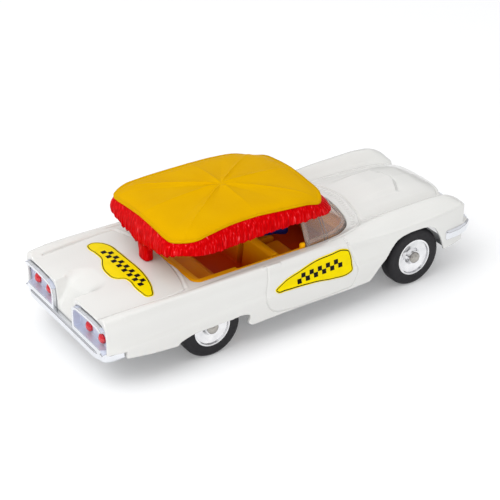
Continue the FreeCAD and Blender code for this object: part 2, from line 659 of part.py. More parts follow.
for end, axle in (("front", FRONT_AXLE), ("rear", REAR_AXLE)):
    for side, low in (("left", "lug_face - lug_thickness"), ("right", "lug_face*-1")):
        plate_parts.append(bound_box(f"lug_{end}_{side}", ("lug_length", "lug_thickness", LUG_HEIGHT),
                                     (axle + " - lug_length*0.5", low, "base_bottom")))
    across = FreeCAD.Rotation(Vector(1, 0, 0), -90)
    for level, height in (("low", "tyre_radius"), ("high", "tyre_radius + travel")):
        plate_holes.append(bound_cylinder(f"slot_{end}_{level}", BORE, "base_half_width*2",
                                          (axle, "base_half_width*-1", height), across))
    plate_holes.append(bound_box(f"slot_{end}", ("axle_radius*2 + running_gap*2", "base_half_width*2",
                                                 "travel"),
                                 (axle + " - axle_radius - running_gap", "base_half_width*-1",
                                  "tyre_radius")))
FRONT_POST = FRONT_AXLE + " + front_post_reach"
REAR_POST = REAR_AXLE + " - rear_post_reach"
FRONT_SPRING = FRONT_AXLE + " - spring_reach"
REAR_SPRING = REAR_AXLE + " + spring_reach"
for end, post in (("front", FRONT_POST), ("rear", REAR_POST)):
    plate_holes.append(bound_cylinder(f"post_hole_{end}", "base_rivet_radius + running_gap",
                                      "base_thickness*3", (post, "", "base_bottom - base_thickness")))
    plate_holes.append(bound_cylinder(f"post_seat_{end}", "base_rivet_head + running_gap",
                                      "base_rivet_height + running_gap", (post, "", "base_bottom")))
for end, foot in (("front", FRONT_SPRING), ("rear", REAR_SPRING)):
    plate_holes.append(bound_cylinder(f"spring_hole_{end}", "small_rivet_radius + running_gap",
                                      "base_thickness*3", (foot, "", "base_bottom - base_thickness")))
    plate_holes.append(bound_cylinder(f"spring_seat_{end}", "small_rivet_head + running_gap",
                                      "small_rivet_height + running_gap", (foot, "", "base_bottom")))
finish(pierced("baseplate", joined("plate_sheet", plate_parts), plate_holes), "baseplate")

for end, post in (("front", FRONT_POST), ("rear", REAR_POST)):
    head = bound_cylinder(f"base_rivet_{end}_head", "base_rivet_head", "base_rivet_height",
                          (post, "", "base_bottom + running_gap"))
    shank = bound_cylinder(f"base_rivet_{end}_shank", "base_rivet_radius",
                           "base_rivet_length + base_thickness - running_gap",
                           (post, "", "base_bottom + running_gap"))
    finish(joined(f"base_rivet_{end}", [head, shank]), f"base_rivet_{end}")

rivets = []
for end, foot in (("front", FRONT_SPRING), ("rear", REAR_SPRING)):
    stem = bound_cylinder(f"spring_rivet_{end}_stem", "small_rivet_radius",
                          "base_thickness + spring_thickness - running_gap",
                          (foot, "", "base_bottom + running_gap"))
    for level, height in (("low", "base_bottom + running_gap"),
                          ("high", "base_bottom + base_thickness + spring_thickness")):
        head = bound_cylinder(f"spring_rivet_{end}_{level}", "small_rivet_head", "small_rivet_height",
                              (foot, "", height))
        stem = joined(f"spring_rivet_{end}_{level}_set", [stem, head])
    rivets.append(stem)
finish(joined("spring_rivets", rivets), "spring_rivets")


# Leaf springs: a flat foot on the plate, a rise, and a nose that presses on the axle
spring_shares = [(0.35, 0.0), (0.55, 0.25), (0.82, 0.93), (0.95, 1.0), (1.08, 1.0), (1.30, 0.88)]


def leaf_spring(foot_x, axle_x):
    """A bent strip of sheet: spring_shares run from the foot to the axle, and up to its top."""
    reach = axle_x - foot_x
    plate_top = size("base_bottom") + size("base_thickness")
    rise = axle_z + size("axle_radius") + size("running_gap") - plate_top
    ahead = 1 if reach > 0 else -1
    path = [(foot_x - ahead * size("spring_foot") / 2, plate_top)]
    path += [(foot_x + reach * x, plate_top + rise * z) for x, z in spring_shares]
    leaf = ribbon(path, -ahead * size("spring_thickness"))
    half = size("spring_width") / 2
    hole = rod(Vector(foot_x, 0, 0), Vector(foot_x, 0, deck), size("small_rivet_radius")
               + size("running_gap"))
    return side_slab(leaf, -half, half).cut(hole)


front_foot_x = front_axle_x - size("spring_reach")
rear_foot_x = rear_axle_x + size("spring_reach")
shaped("front_spring", leaf_spring(front_foot_x, front_axle_x))
shaped("rear_spring", leaf_spring(rear_foot_x, rear_axle_x))


# Windscreen: a bowed clear wall with a foot that lies under the deck

def windscreen():
    base = deck + gap
    top = size("screen_top")
    skin = size("screen_thickness")
    half = size("cabin_half_width") - gap
    apex = size("screen_apex")
    top_half = size("screen_top_half_width")
    top_apex = size("screen_top_apex")
    sink = base - size("screen_sink")
    leaning = Part.makeLoft([bow_wire(half, screen_back, apex, base),
                             bow_wire(top_half, screen_back, top_apex, top)], True, True)
    upright = Part.Face(bow_wire(half, screen_back, apex, sink)).extrude(Vector(0, 0, base - sink))
    steep = (top - base) / (top + skin - base)
    over = [half - skin + (top_half - half) / steep, apex - skin + (top_apex - apex) / steep]
    behind = screen_back - skin
    hollow = Part.makeLoft([bow_wire(half - skin, behind, apex - skin, base),
                            bow_wire(over[0], behind, over[1], top + skin)], True, True)
    well = Part.Face(bow_wire(half - skin, behind, apex - skin, sink - skin))
    well = well.extrude(Vector(0, 0, base - sink + skin))
    reach = size("screen_foot_reach")
    foot_top = sink + size("screen_foot")
    foot = Part.Face(bow_wire(half + reach, screen_back, apex + reach, sink))
    foot = foot.extrude(Vector(0, 0, foot_top - sink))
    foot = foot.common(body_form(-wall - gap, overrun))
    return upright.fuse([leaning, foot]).cut([hollow, well])


# Interior tub: one yellow moulding with floor, seats, dashboard and rim

def tub_prism(growth, low, high):
    """The tub's outline: behind the windscreen it fills the cabin, ahead it stays inside it."""
    inside = gap + size("screen_thickness") + gap
    ahead = cabin(growth - inside, low, high)
    behind = cabin(growth - gap, low, high)
    half = size("cabin_half_width") + overrun
    limit = screen_back - gap + growth
    return ahead.fuse(behind.common(block((-half_length, -half, low), (limit, half, high))))


seat_cushion_shares = [(-0.06, 0.46), (-0.05, 0.655), (-0.035, 0.685), (0.095, 0.70), (0.11, 0.67),
                       (0.11, 0.46)]
seat_back_shares = [(-0.099, 0.46), (-0.082, 0.90), (-0.069, 0.93), (-0.051, 0.93), (-0.039, 0.90),
                    (-0.019, 0.70), (-0.019, 0.46)]
bench_cushion_shares = [(-0.47, 0.58), (-0.47, 0.72), (-0.33, 0.735), (-0.312, 0.71), (-0.312, 0.58)]
bench_back_shares = [(-0.50, 0.58), (-0.50, 0.94), (-0.475, 0.95), (-0.455, 0.93), (-0.43, 0.735),
                     (-0.43, 0.58)]
rear_step_share = -0.29
front_foot_share = 0.62


def interior():
    bottom = size("tub_bottom")
    skin = size("tub_wall")
    top = deck - size("tub_rim_drop")
    rim = top - size("tub_rim_height")
    step_x = rear_step_share * half_length
    rear_low = bottom + size("rear_floor_rise")
    half = size("rear_half_width")
    far = half_length
    front_room = block((step_x, -far, 0), (far, far, deck))
    rear_room = block((-far, -half, 0), (step_x, half, deck))
    thick = gap * 2 + size("screen_thickness")
    front_box = cabin(-thick, bottom, top).common(front_room)
    rear_box = cabin(-thick, rear_low, top).common(rear_room)
    tub = front_box.fuse([rear_box, tub_prism(0.0, rim, top)])
    floor_top = bottom + size("tub_floor")
    rear_top = rear_low + size("tub_floor")
    hollow_front = cabin(-thick - skin, floor_top, deck).common(
        block((step_x + skin, -far, 0), (far, far, deck)))
    hollow_rear = cabin(-thick - skin, rear_top, deck).common(
        block((-far, skin - half, 0), (step_x + skin, half - skin, deck)))
    tub = tub.cut([hollow_front, hollow_rear, tub_prism(-skin, rim + skin, deck)])
    inner, outer = size("seat_inner"), size("seat_outer")
    pieces = []
    for shares in (seat_cushion_shares, seat_back_shares):
        seat = side_slab(on_side(shares), inner, outer)
        pieces += [seat, mirrored(seat)]
    for shares in (bench_cushion_shares, bench_back_shares):
        pieces.append(side_slab(on_side(shares), skin / 2 - half, half - skin / 2))
    dash = cabin(-thick - skin / 2, size("dash_bottom"), size("dash_top"))
    apex = size("screen_apex")
    pieces.append(dash.common(block((apex - thick - size("dash_depth"), -far, 0), (far, far, deck))))
    foot_low = size("base_bottom") + size("base_thickness")
    for x in (step_x + size("tub_foot_radius") * 2, apex * front_foot_share):
        for y in (-half / 2, half / 2):
            pieces.append(rod(Vector(x, y, foot_low), Vector(x, y, floor_top), size("tub_foot_radius")))
    return tub.fuse(pieces)


shaped("windscreen", windscreen())
interior_shape = interior()
shaped("interior_tub", interior_shape)


# Steering wheel and driver, on the left-hand seat

STEERING_LEAN = 52.0
SPOKES = 3
steering_x_share = 0.205
steering_z_share = 0.93


def steering_place():
    return Vector(steering_x_share * half_length, size("driver_side"), steering_z_share * deck)


def steering_wheel():
    """Rim, spokes and a column that slopes down to the dashboard."""
    centre = Vector(0, 0, 0)
    radius = size("steering_radius")
    tube = size("steering_tube")
    rim = Part.makeTorus(radius, tube)
    hub = rod(Vector(0, 0, -tube), Vector(0, 0, tube), size("column_radius") * 2)
    column = rod(centre, Vector(0, 0, -size("column_length")), size("column_radius"))
    turns = [index * 2 * math.pi / SPOKES for index in range(SPOKES)]
    spokes = [rod(centre, Vector(radius * math.cos(turn), radius * math.sin(turn), 0), tube)
              for turn in turns]
    wheel = rim.fuse([hub, column] + spokes)
    wheel.rotate(centre, Vector(0, 1, 0), -STEERING_LEAN)
    wheel.translate(steering_place())
    return wheel.cut(interior_shape)


# Driver: shares of the deck height from the middle of the seat. The trunk, head, cap and peak are
# (ahead, up, radius) and the limbs' joints (ahead, out to the side, up).
seat_x_share = 0.034
seat_z_share = 0.70
trunk_shares = [(0.0, 0.0, 0.125), (-0.015, 0.09, 0.12), (-0.03, 0.24, 0.15), (-0.035, 0.315, 0.12),
                (-0.03, 0.35, 0.055), (-0.03, 0.385, 0.05)]
head_shares = (-0.02, 0.475, 0.108)
cap_shares = (-0.02, 0.52, 0.112)
cap_top_share = 0.10
cap_height_share = 0.055
peak_shares = (0.03, 0.52, 0.10)
peak_height_share = 0.015
shoulder_shares = (-0.03, 0.13, 0.27)
elbow_shares = (0.12, 0.17, 0.16)
hand_shares = (-0.11, 0.11, 0.0)
hip_shares = (0.03, 0.15, 0.066)
knee_shares = (0.22, 0.205, 0.07)
foot_shares = (0.375, 0.205, 0.02)
arm_share = 0.048
forearm_share = 0.038
leg_share = 0.06


def driver():
    """A seated figure with a plain round head and cap, moulded in one piece."""
    base = Vector(seat_x_share * half_length, size("driver_side"), seat_z_share * deck + gap)

    def spot(shares):
        return base + Vector(shares[0] * deck, 0, shares[1] * deck)

    def limb_joint(shares, way, origin):
        return origin + Vector(shares[0] * deck, way * shares[1] * deck, shares[2] * deck)

    rings = [Part.Wire([Part.makeCircle(shares[2] * deck, spot(shares))]) for shares in trunk_shares]
    trunk = Part.makeLoft(rings, True, True)
    head = Part.makeSphere(head_shares[2] * deck, spot(head_shares))
    cap = Part.makeCone(cap_shares[2] * deck, cap_top_share * deck, cap_height_share * deck,
                        spot(cap_shares))
    peak = rod(spot(peak_shares), spot(peak_shares) + Vector(0, 0, peak_height_share * deck),
               peak_shares[2] * deck)
    pieces = [head, cap, peak]
    arm = arm_share * deck
    leg = leg_share * deck
    for way in (-1, 1):
        shoulder = limb_joint(shoulder_shares, way, base)
        elbow = limb_joint(elbow_shares, way, base)
        hand = limb_joint(hand_shares, way, steering_place())
        hip = limb_joint(hip_shares, way, base)
        knee = limb_joint(knee_shares, way, base)
        foot = limb_joint(foot_shares, way, base)
        pieces += [rod(shoulder, elbow, arm), rod(elbow, hand, forearm_share * deck)]
        pieces += [rod(hip, knee, leg), rod(knee, foot, leg)]
        pieces += [Part.makeSphere(arm, joint) for joint in (shoulder, elbow, hand)]
        pieces += [Part.makeSphere(leg, joint) for joint in (knee, foot)]
    figure = trunk.fuse(pieces)
    return figure.cut([interior_shape, steering_shape])


# Canopy: (x, y, z) shares round half its edge, from the front middle to the rear middle.
# X follows the half span, Y the half width and Z the drop below the crown.
canopy_edge_shares = [(1.0, 0.0, 0.66), (1.0, 0.38, 0.73), (0.99, 0.755, 0.93), (0.94, 0.868, 1.0),
                      (0.70, 0.95, 0.63), (0.41, 0.956, 0.44), (0.06, 0.925, 0.34), (-0.28, 0.943, 0.44),
                      (-0.58, 0.987, 0.63), (-0.75, 1.0, 0.73), (-0.887, 0.918, 0.73),
                      (-0.995, 0.76, 0.68), (-1.0, 0.38, 0.56), (-1.0, 0.0, 0.49)]
# The fringe's lower edge: the same places flared out, and the share of its fall below the crown
fringe_edge_shares = [(1.155, 0.0, 0.875), (1.155, 0.38, 0.875), (1.145, 0.74, 0.875),
                      (1.075, 0.875, 0.865), (0.73, 1.0, 0.865), (0.41, 1.025, 0.865),
                      (0.06, 1.02, 0.865), (-0.28, 1.025, 0.853), (-0.58, 1.045, 0.795),
                      (-0.765, 1.045, 0.715), (-0.917, 0.956, 0.68), (-1.03, 0.79, 0.74),
                      (-1.035, 0.38, 0.91), (-1.035, 0.0, 1.0)]
dome_shares = [(1.0, 1.0), (0.86, 0.58), (0.66, 0.29), (0.33, 0.07)]
clip_reach_share = 1.06


def canopy_frame():
    back = -size("cabin_rear") - size("canopy_rear_overlap")
    front = size("screen_apex") - size("canopy_setback")
    half = size("cabin_half_width") + size("canopy_side_overlap")
    return (back + front) / 2, (front - back) / 2, half


def ring(shares, level, height, pull=0.0):
    """Places round the whole canopy from half a table of shares, drawn in by pull."""
    middle, span, half = canopy_frame()
    inner_x = 1 - pull / span
    inner_y = 1 - pull / half
    left = [Vector(middle + x * span * inner_x, y * half * inner_y, level - z * height)
            for x, y, z in shares]
    return left + [Vector(point.x, -point.y, point.z) for point in left[-2:0:-1]]


def triangle(first, second, third):
    return Part.Face(polygon([first, second, third]))


def strip(upper, lower):
    """Triangles between two rings of the same number of places."""
    faces = []
    count = len(upper)
    for index in range(count):
        after = (index + 1) % count
        faces.append(triangle(upper[index], lower[index], lower[after]))
        faces.append(triangle(upper[index], lower[after], upper[after]))
    return faces


def fan(rim, centre):
    return [triangle(rim[index], rim[(index + 1) % len(rim)], centre) for index in range(len(rim))]


def solid_of(faces):
    solid = Part.Solid(Part.Shell(faces))
    if solid.Volume < 0:
        solid.reverse()
    return solid


def canopy_top():
    """Eight gentle folds that rise from the edge to the crown."""
    crown = size("canopy_crown")
    drop = size("canopy_drop")
    middle = canopy_frame()[0]
    skin = Vector(0, 0, -size("canopy_sheet"))
    upper = []
    for spread, fall in dome_shares:
        shares = [(x * spread, y * spread, z * fall) for x, y, z in canopy_edge_shares]
        upper.append(ring(shares, crown, drop))
    lower = [[point + skin for point in level] for level in upper]
    top = Vector(middle, 0, crown)
    faces = strip(upper[0], lower[0]) + fan(upper[-1], top) + fan(lower[-1], top + skin)
    for levels in (upper, lower):
        for outside, inside in zip(levels, levels[1:]):
            faces += strip(outside, inside)
    return solid_of(faces)


def canopy_fringe():
    """The skirt under the canopy's edge, with its rear leg and the clip on the windscreen."""
    crown = size("canopy_crown")
    skin = size("fringe_sheet")
    top_level = crown - size("canopy_sheet") - size("canopy_joint")
    outer_top = ring(canopy_edge_shares, top_level, size("canopy_drop"))
    inner_top = ring(canopy_edge_shares, top_level, size("canopy_drop"), skin)
    outer_low = ring(fringe_edge_shares, crown, size("fringe_fall"))
    inner_low = ring(fringe_edge_shares, crown, size("fringe_fall"), skin)
    skirt = solid_of(strip(outer_top, outer_low) + strip(inner_top, inner_low)
                     + strip(outer_top, inner_top) + strip(outer_low, inner_low))
    middle, span, half = canopy_frame()
    back = middle - span
    front = back + size("leg_thickness")
    leg_top = crown - size("fringe_fall") + size("fringe_sheet") * 2
    foot = deck + gap
    wide = size("leg_top_half_width")
    narrow = size("leg_foot_half_width")
    leg = end_slab([(-wide, leg_top), (wide, leg_top), (narrow, foot), (-narrow, foot)], back, front)
    peg_back, peg_front = peg_span()
    peg = block((peg_back, -size("peg_half_width"), foot - size("peg_length")),
                (peg_front, size("peg_half_width"), foot + size("peg_length")))
    clip_low = size("screen_top") + gap
    clip_back = size("screen_top_apex") - size("screen_thickness") * 2
    clip_half = size("clip_half_width")
    clip = block((clip_back, -clip_half, clip_low),
                 (middle + span * clip_reach_share, clip_half, clip_low + size("clip_height")))
    return skirt.fuse([leg, peg, clip])


# Tail: bumper bar and lamp pods in one plated piece, and its four lenses

def rear_bumper():
    bottom = size("bar_bottom")
    height = size("bar_height")
    return_x = size("bar_return") - half_length
    base = bar(rear_bar_shares, bottom, height)
    inner_x = tail_face + gap * 2
    inner_y = half_width * rear_bar_shares[0][1] - size("bar_wall")
    base = base.cut([block((inner_x, -inner_y, 0), (half_length, inner_y, deck)),
                     block((return_x, -half_width, 0), (half_length, half_width, deck))])
    tongue = block((inner_x - gap, -size("tongue_half_width"), bottom + size("bar_round")),
                   (return_x, size("tongue_half_width"),
                    bottom + size("bar_round") + size("tongue_thickness")))
    front = tail_face - size("pod_stand")
    back = tail_face + size("pod_depth")
    pieces = [tongue]
    for way in (1, -1):
        shell = end_slab(pod_outline(0.0), front, tail_face)
        cup = end_slab(pod_outline(0.0), tail_face, back)
        room = end_slab(pod_outline(size("pod_rim")), front - overrun, back - size("pod_floor"))
        pod = shell.fuse(cup).cut(room)
        for seat in tail_lamp_places():
            start = seat + Vector(size("pod_floor"), 0, 0)
            pod = pod.cut(rod(start, seat - Vector(size("pod_depth"), 0, 0),
                              size("lamp_radius") + size("running_gap")))
        pieces.append(pod if way > 0 else mirrored(pod))
    return base.fuse(pieces)


def tail_lamp_places():
    """Left lenses: the middle of each lens where it leaves the pod's floor."""
    floor_x = tail_face + size("pod_depth") - size("pod_floor")
    return [Vector(floor_x, y, size("lamp_height")) for y in (size("lamp_inner"), size("lamp_outer"))]


lens_dome_share = 1.25


def lens(seat, outward, radius, sunk):
    """A round lens with a stem sunk in its seat and a domed face."""
    length = size("lamp_length")
    crown = radius * lens_dome_share
    stem = rod(seat - outward * sunk, seat + outward * (length - radius / 2), radius)
    dome = Part.makeSphere(crown, seat + outward * (length - crown))
    limit = rod(seat - outward * sunk, seat + outward * length, radius)
    return stem.fuse(dome.common(limit))


def lamp_pair(seats, outward, radius, sunk, way):
    lamps = [lens(seat, outward, radius, sunk) for seat in seats]
    pair = Part.Compound(lamps)
    return pair if way > 0 else mirrored(pair)


def front_bumper():
    whole = bar(front_bar_shares, size("front_bar_bottom"), size("front_bar_height"))
    return whole.cut(outer_form)


GRILLE_BARS = 12


def front_grille():
    """A plated plate with upright bars, let into the nose."""
    plate = grille_block(0.0).common(block((-half_length, -half_width, 0),
                                           (nose_face, half_width, deck)))
    box = plate.BoundBox
    rib = size("grille_bar")
    pitch = (box.YLength - rib) / GRILLE_BARS
    cuts = []
    for index in range(GRILLE_BARS):
        low = box.YMin + rib + index * pitch
        cuts.append(block((nose_face - size("grille_depth") / 2, low, box.ZMin + rib),
                          (nose_face + overrun, low + pitch - rib, box.ZMax - rib)))
    return plate.cut(cuts)


# Labels, wrapped on the casting

door_label_shares = [(-0.155, 0.665), (-0.135, 0.735), (0.02, 0.80), (0.20, 0.875), (0.238, 0.86),
                     (0.262, 0.60), (0.245, 0.575), (-0.13, 0.60)]
boot_label_shares = [(-0.663, 0.56), (-0.69, 0.65), (-0.735, 0.65), (-0.763, 0.56), (-0.763, -0.56),
                     (-0.735, -0.65), (-0.69, -0.65), (-0.663, -0.56)]


def door_label():
    outline = on_side(door_label_shares)
    return side_slab(outline, half_width / 2, half_width + overrun).common(label_skin)


def boot_label():
    return plan_slab(on_plan(boot_label_shares), deck / 2, deck * 2).common(label_skin)


steering_shape = steering_wheel()
shaped("steering_wheel", steering_shape)
shaped("driver_figure", driver())
shaped("canopy_top", canopy_top())
shaped("canopy_fringe", canopy_fringe())
shaped("rear_bumper_panel", rear_bumper())
shaped("front_bumper", front_bumper())
shaped("front_grille", front_grille())
backward = Vector(-1, 0, 0)
forward = Vector(1, 0, 0)
lamp_seats = [seat - forward * size("head_lamp_depth") for seat in lamp_places()]
left_door = door_label()
for way, side in ((1, "left"), (-1, "right")):
    shaped("tail_lamps_" + side, lamp_pair(tail_lamp_places(), backward, size("lamp_radius"),
                                           size("pod_floor") / 2, way))
    shaped("headlamps_" + side, lamp_pair(lamp_seats, forward, size("head_lamp_radius"), 0.0, way))
    shaped("door_label_" + side, left_door if way > 0 else mirrored(left_door))
shaped("boot_label", boot_label())


# Checks and files

doc.recompute()
for item in doc.Objects:
    if "Invalid" in item.State or "Error" in item.State:
        raise RuntimeError(item.Name + " " + str(item.State))
for piece in finished:
    if piece.Shape.isNull() or not piece.Shape.isValid():
        raise RuntimeError(piece.Label + " has no valid shape")

os.makedirs("parts", exist_ok=True)
for piece in finished:
    piece.Shape.exportStep("parts/" + piece.Label + ".step")
    box = piece.Shape.BoundBox
    print(f"{piece.Label:22s} {len(piece.Shape.Solids)} {piece.Shape.Volume:9.2f}",
          [round(v, 2) for v in (box.XMin, box.XMax, box.YMin, box.YMax, box.ZMin, box.ZMax)])
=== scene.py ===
import json
import math

import bmesh
import bpy
import numpy as np
from mathutils import Matrix, Vector
from mathutils.bvhtree import BVHTree
from mathutils.kdtree import KDTree
from numpy.linalg import norm


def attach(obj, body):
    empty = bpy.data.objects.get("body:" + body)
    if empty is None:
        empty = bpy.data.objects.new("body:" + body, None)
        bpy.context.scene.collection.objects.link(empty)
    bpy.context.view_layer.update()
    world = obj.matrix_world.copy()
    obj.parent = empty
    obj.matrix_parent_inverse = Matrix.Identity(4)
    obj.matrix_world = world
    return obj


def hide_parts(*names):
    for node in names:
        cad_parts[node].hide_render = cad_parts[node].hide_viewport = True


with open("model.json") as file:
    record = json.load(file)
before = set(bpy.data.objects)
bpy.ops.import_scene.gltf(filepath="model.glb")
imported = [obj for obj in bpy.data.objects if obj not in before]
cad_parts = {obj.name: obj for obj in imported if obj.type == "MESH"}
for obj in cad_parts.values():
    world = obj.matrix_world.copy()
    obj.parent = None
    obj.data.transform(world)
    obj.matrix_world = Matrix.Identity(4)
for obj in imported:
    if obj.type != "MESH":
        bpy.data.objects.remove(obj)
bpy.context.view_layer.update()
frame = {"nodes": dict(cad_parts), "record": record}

# Lengths are in millimetres in the part's frame, and each finished piece is scaled to metres.

MM = 0.001
HALF_LENGTH = 51.9
HALF_WIDTH = 20.4
DECK = 18.2
AXLE_Z = 7.44
FRONT_AXLE_X = 33.0
REAR_AXLE_X = -24.0


# Curves

def slopes(places, values):
    """Tangents that keep each run between two values free of overshoot."""
    run = np.diff(places)
    rise = np.diff(values, axis=0)
    run = run.reshape((-1,) + (1,) * (rise.ndim - 1))
    steep = rise / run
    tangent = np.zeros_like(values)
    tangent[0], tangent[-1] = steep[0], steep[-1]
    before, after = steep[:-1], steep[1:]
    first = 2 * run[1:] + run[:-1]
    second = run[1:] + 2 * run[:-1]
    same = before * after > 0
    safe_before = np.where(same, before, 1.0)
    safe_after = np.where(same, after, 1.0)
    mean = (first + second) / (first / safe_before + second / safe_after)
    tangent[1:-1] = np.where(same, mean, 0.0)
    return tangent


def hermite(values, tangent, index, run, share):
    """Cubics through the values with the given tangents, each at a share of the run after its index."""
    cube, square = share ** 3, share ** 2
    return ((2 * cube - 3 * square + 1) * values[index]
            + (cube - 2 * square + share) * run * tangent[index]
            + (3 * square - 2 * cube) * values[index + 1]
            + (cube - square) * run * tangent[index + 1])


def span_of(places, wanted):
    """The index of the span between two places in which each wanted place lies."""
    return np.clip(np.searchsorted(places, wanted, side="right") - 1, 0, len(places) - 2)


def eased(places, values, wanted):
    """A smooth curve through values at places, read at the wanted places."""
    places, values, wanted = (np.asarray(item, float) for item in (places, values, wanted))
    index = span_of(places, wanted)
    run = places[index + 1] - places[index]
    share = (wanted - places[index]) / run
    shape = (-1,) + (1,) * (values.ndim - 1)
    return hermite(values, slopes(places, values), index, run.reshape(shape), share.reshape(shape))


def catmull(points, chord, wanted):
    """A Catmull-Rom curve by chord length."""
    index = span_of(chord, wanted)
    run = (chord[index + 1] - chord[index])[:, None]
    share = (wanted[:, None] - chord[index][:, None]) / run
    return hermite(points, np.gradient(points, chord, axis=0), index, run, share)


def lengths_along(points):
    """How far along a path each of its points lies."""
    return np.concatenate([[0], np.cumsum(norm(np.diff(points, axis=0), axis=1))])


def round_path(points, count):
    """An open path through the points, smooth, with count places evenly spaced along it."""
    points = np.asarray(points, float)
    chord = lengths_along(points)
    spline = catmull(points, chord, np.linspace(0, chord[-1], count * 4))
    length = lengths_along(spline)
    even = np.linspace(0, length[-1], count)
    return np.stack([np.interp(even, length, column) for column in spline.T], axis=1)


def smooth_step(low, high, value):
    """Rises from 0 at low to 1 at high, level at both ends."""
    share = np.clip((np.asarray(value, float) - low) / (high - low), 0, 1)
    return share * share * (3 - 2 * share)


def band(rise, fall, value):
    """Rises over one pair of values and falls again over another."""
    return smooth_step(*rise, value) * (1 - smooth_step(*fall, value))


# Meshes

def in_scene(name, data):
    """A new object in the scene that holds the data."""
    piece = bpy.data.objects.new(name, data)
    bpy.context.scene.collection.objects.link(piece)
    return piece


def mesh_piece(name, verts, faces):
    mesh = bpy.data.meshes.new(name)
    mesh.from_pydata([tuple(v) for v in verts], [], [tuple(f) for f in faces])
    mesh.validate()
    mesh.polygons.foreach_set("use_smooth", [True] * len(mesh.polygons))
    return in_scene(name, mesh)


def closed_piece(name, verts, faces):
    """A mesh piece whose faces are turned so that its volume is positive."""
    piece = mesh_piece(name, verts, faces)
    work = bmesh.new()
    work.from_mesh(piece.data)
    bmesh.ops.recalc_face_normals(work, faces=work.faces)
    if work.calc_volume(signed=True) < 0:
        bmesh.ops.reverse_faces(work, faces=work.faces)
    work.to_mesh(piece.data)
    work.free()
    return piece


def ring_faces(count, starts):
    """Quads between rings of count places. Each ring is given by its first vertex."""
    faces = []
    for near, far in zip(starts, starts[1:]):
        for index in range(count):
            after = (index + 1) % count
            faces.append((near + index, near + after, far + after, far + index))
    return faces


def fan(count, first, tip):
    """Triangles between a ring and one vertex."""
    return [(first + index, first + (index + 1) % count, tip) for index in range(count)]


def loops_piece(name, loops):
    """A closed skin over rings that all have the same number of places."""
    count = len(loops[0])
    starts = range(0, len(loops) * count, count)
    ends = [tuple(range(count))[::-1], tuple(range(starts[-1], starts[-1] + count))]
    return closed_piece(name, np.concatenate(loops), ring_faces(count, starts) + ends)


def prism(outline, axis, low, high):
    """A flat outline pushed along an axis: 'x' takes (y, z), 'y' takes (x, z) and 'z' takes (x, y)."""
    flat, across = np.asarray(outline, float), "xyz".index(axis)
    return loops_piece("cutter", [np.insert(flat, across, level, axis=1) for level in (low, high)])


def verts_of(piece, field="co"):
    """The places of the vertices, or another of their fields."""
    values = np.zeros(len(piece.data.vertices) * 3)
    piece.data.vertices.foreach_get(field, values)
    return values.reshape(-1, 3)


def set_verts(piece, verts):
    piece.data.vertices.foreach_set("co", np.asarray(verts, float).ravel())
    piece.data.update()


def modified(piece, kind, **settings):
    """Works a modifier into the piece's own mesh."""
    step = piece.modifiers.new(kind, kind)
    for key, value in settings.items():
        setattr(step, key, value)
    graph = bpy.context.evaluated_depsgraph_get()
    mesh = bpy.data.meshes.new_from_object(piece.evaluated_get(graph))
    old = piece.data
    piece.modifiers.clear()
    piece.data = mesh
    bpy.data.meshes.remove(old)
    return piece


def removed(piece):
    mesh = piece.data
    bpy.data.objects.remove(piece)
    bpy.data.meshes.remove(mesh)


def skin_tree(verts, mesh):
    """A tree of a mesh's faces, for casting rays at them."""
    return BVHTree.FromPolygons([tuple(v) for v in verts], [tuple(p.vertices) for p in mesh.polygons])


def merged(name, pieces):
    """One mesh of several closed skins."""
    verts, faces, offset = [], [], 0
    for piece in pieces:
        verts.append(verts_of(piece))
        faces += [tuple(v + offset for v in p.vertices) for p in piece.data.polygons]
        offset += len(verts[-1])
        removed(piece)
    return mesh_piece(name, np.concatenate(verts), faces)


def cut_by(piece, tools):
    for tool in tools:
        modified(piece, "BOOLEAN", operation="DIFFERENCE", solver="MANIFOLD", object=tool)
        removed(tool)


def remeshed(piece, voxel, smoothing):
    """Rebuilds the skin from voxels and rounds its edges."""
    modified(piece, "REMESH", mode="VOXEL", voxel_size=voxel, adaptivity=0.0, use_smooth_shade=True)
    return modified(piece, "SMOOTH", factor=0.5, iterations=smoothing)


def thinned(piece, ratio):
    modified(piece, "DECIMATE", ratio=ratio, use_collapse_triangulate=True)


def placed(piece, nodes, slot, body="root"):
    """Scales a finished piece to metres, dresses it and lets it stand for CAD nodes."""
    piece.data.transform(Matrix.Scale(MM, 4))
    piece.data.update()
    dressed(piece, finishes[slot])
    if nodes:
        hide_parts(*nodes)
    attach(piece, body)
    return piece


def moulded(node, name, voxel, smoothing, ratio, slot):
    """Stands for a CAD node with a copy whose edges are softened as on a moulding."""
    original = frame["nodes"][node]
    piece = in_scene(name, original.data.copy())
    piece.data.transform(Matrix.Scale(1 / MM, 4) @ original.matrix_world)
    modified(piece, "WELD", merge_threshold=0.0005)
    remeshed(piece, voxel, smoothing)
    thinned(piece, ratio)
    return placed(piece, [node], slot)


# Materials

SHADER_INPUTS = {"metallic": "Metallic", "roughness": "Roughness", "shine": "Specular IOR Level",
                 "ior": "IOR", "transmission": "Transmission Weight",
                 "coat": "Coat Weight", "coat_roughness": "Coat Roughness"}


def linear(*rgb):
    """A colour given in 0 to 255 steps."""
    shares = [step / 255 for step in rgb]
    return tuple(c / 12.92 if c <= 0.04 else ((c + 0.055) / 1.055) ** 2.4 for c in shares) + (1.0,)


def added(tree, kind, **settings):
    """A new shader node with the inputs that are named set."""
    node = tree.nodes.new("ShaderNode" + kind)
    for key, value in settings.items():
        node.inputs[key].default_value = value
    return node


def ramped(tree, source, stops):
    """A colour ramp over a source. Each stop is a place and a colour."""
    ramp = added(tree, "ValToRGB")
    elements = ramp.color_ramp.elements
    while len(elements) < len(stops):
        elements.new(0.5)
    for element, (place, colour) in zip(elements, stops):
        element.position = place
        element.color = colour
    tree.links.new(source, ramp.inputs["Fac"])
    return ramp.outputs["Color"]


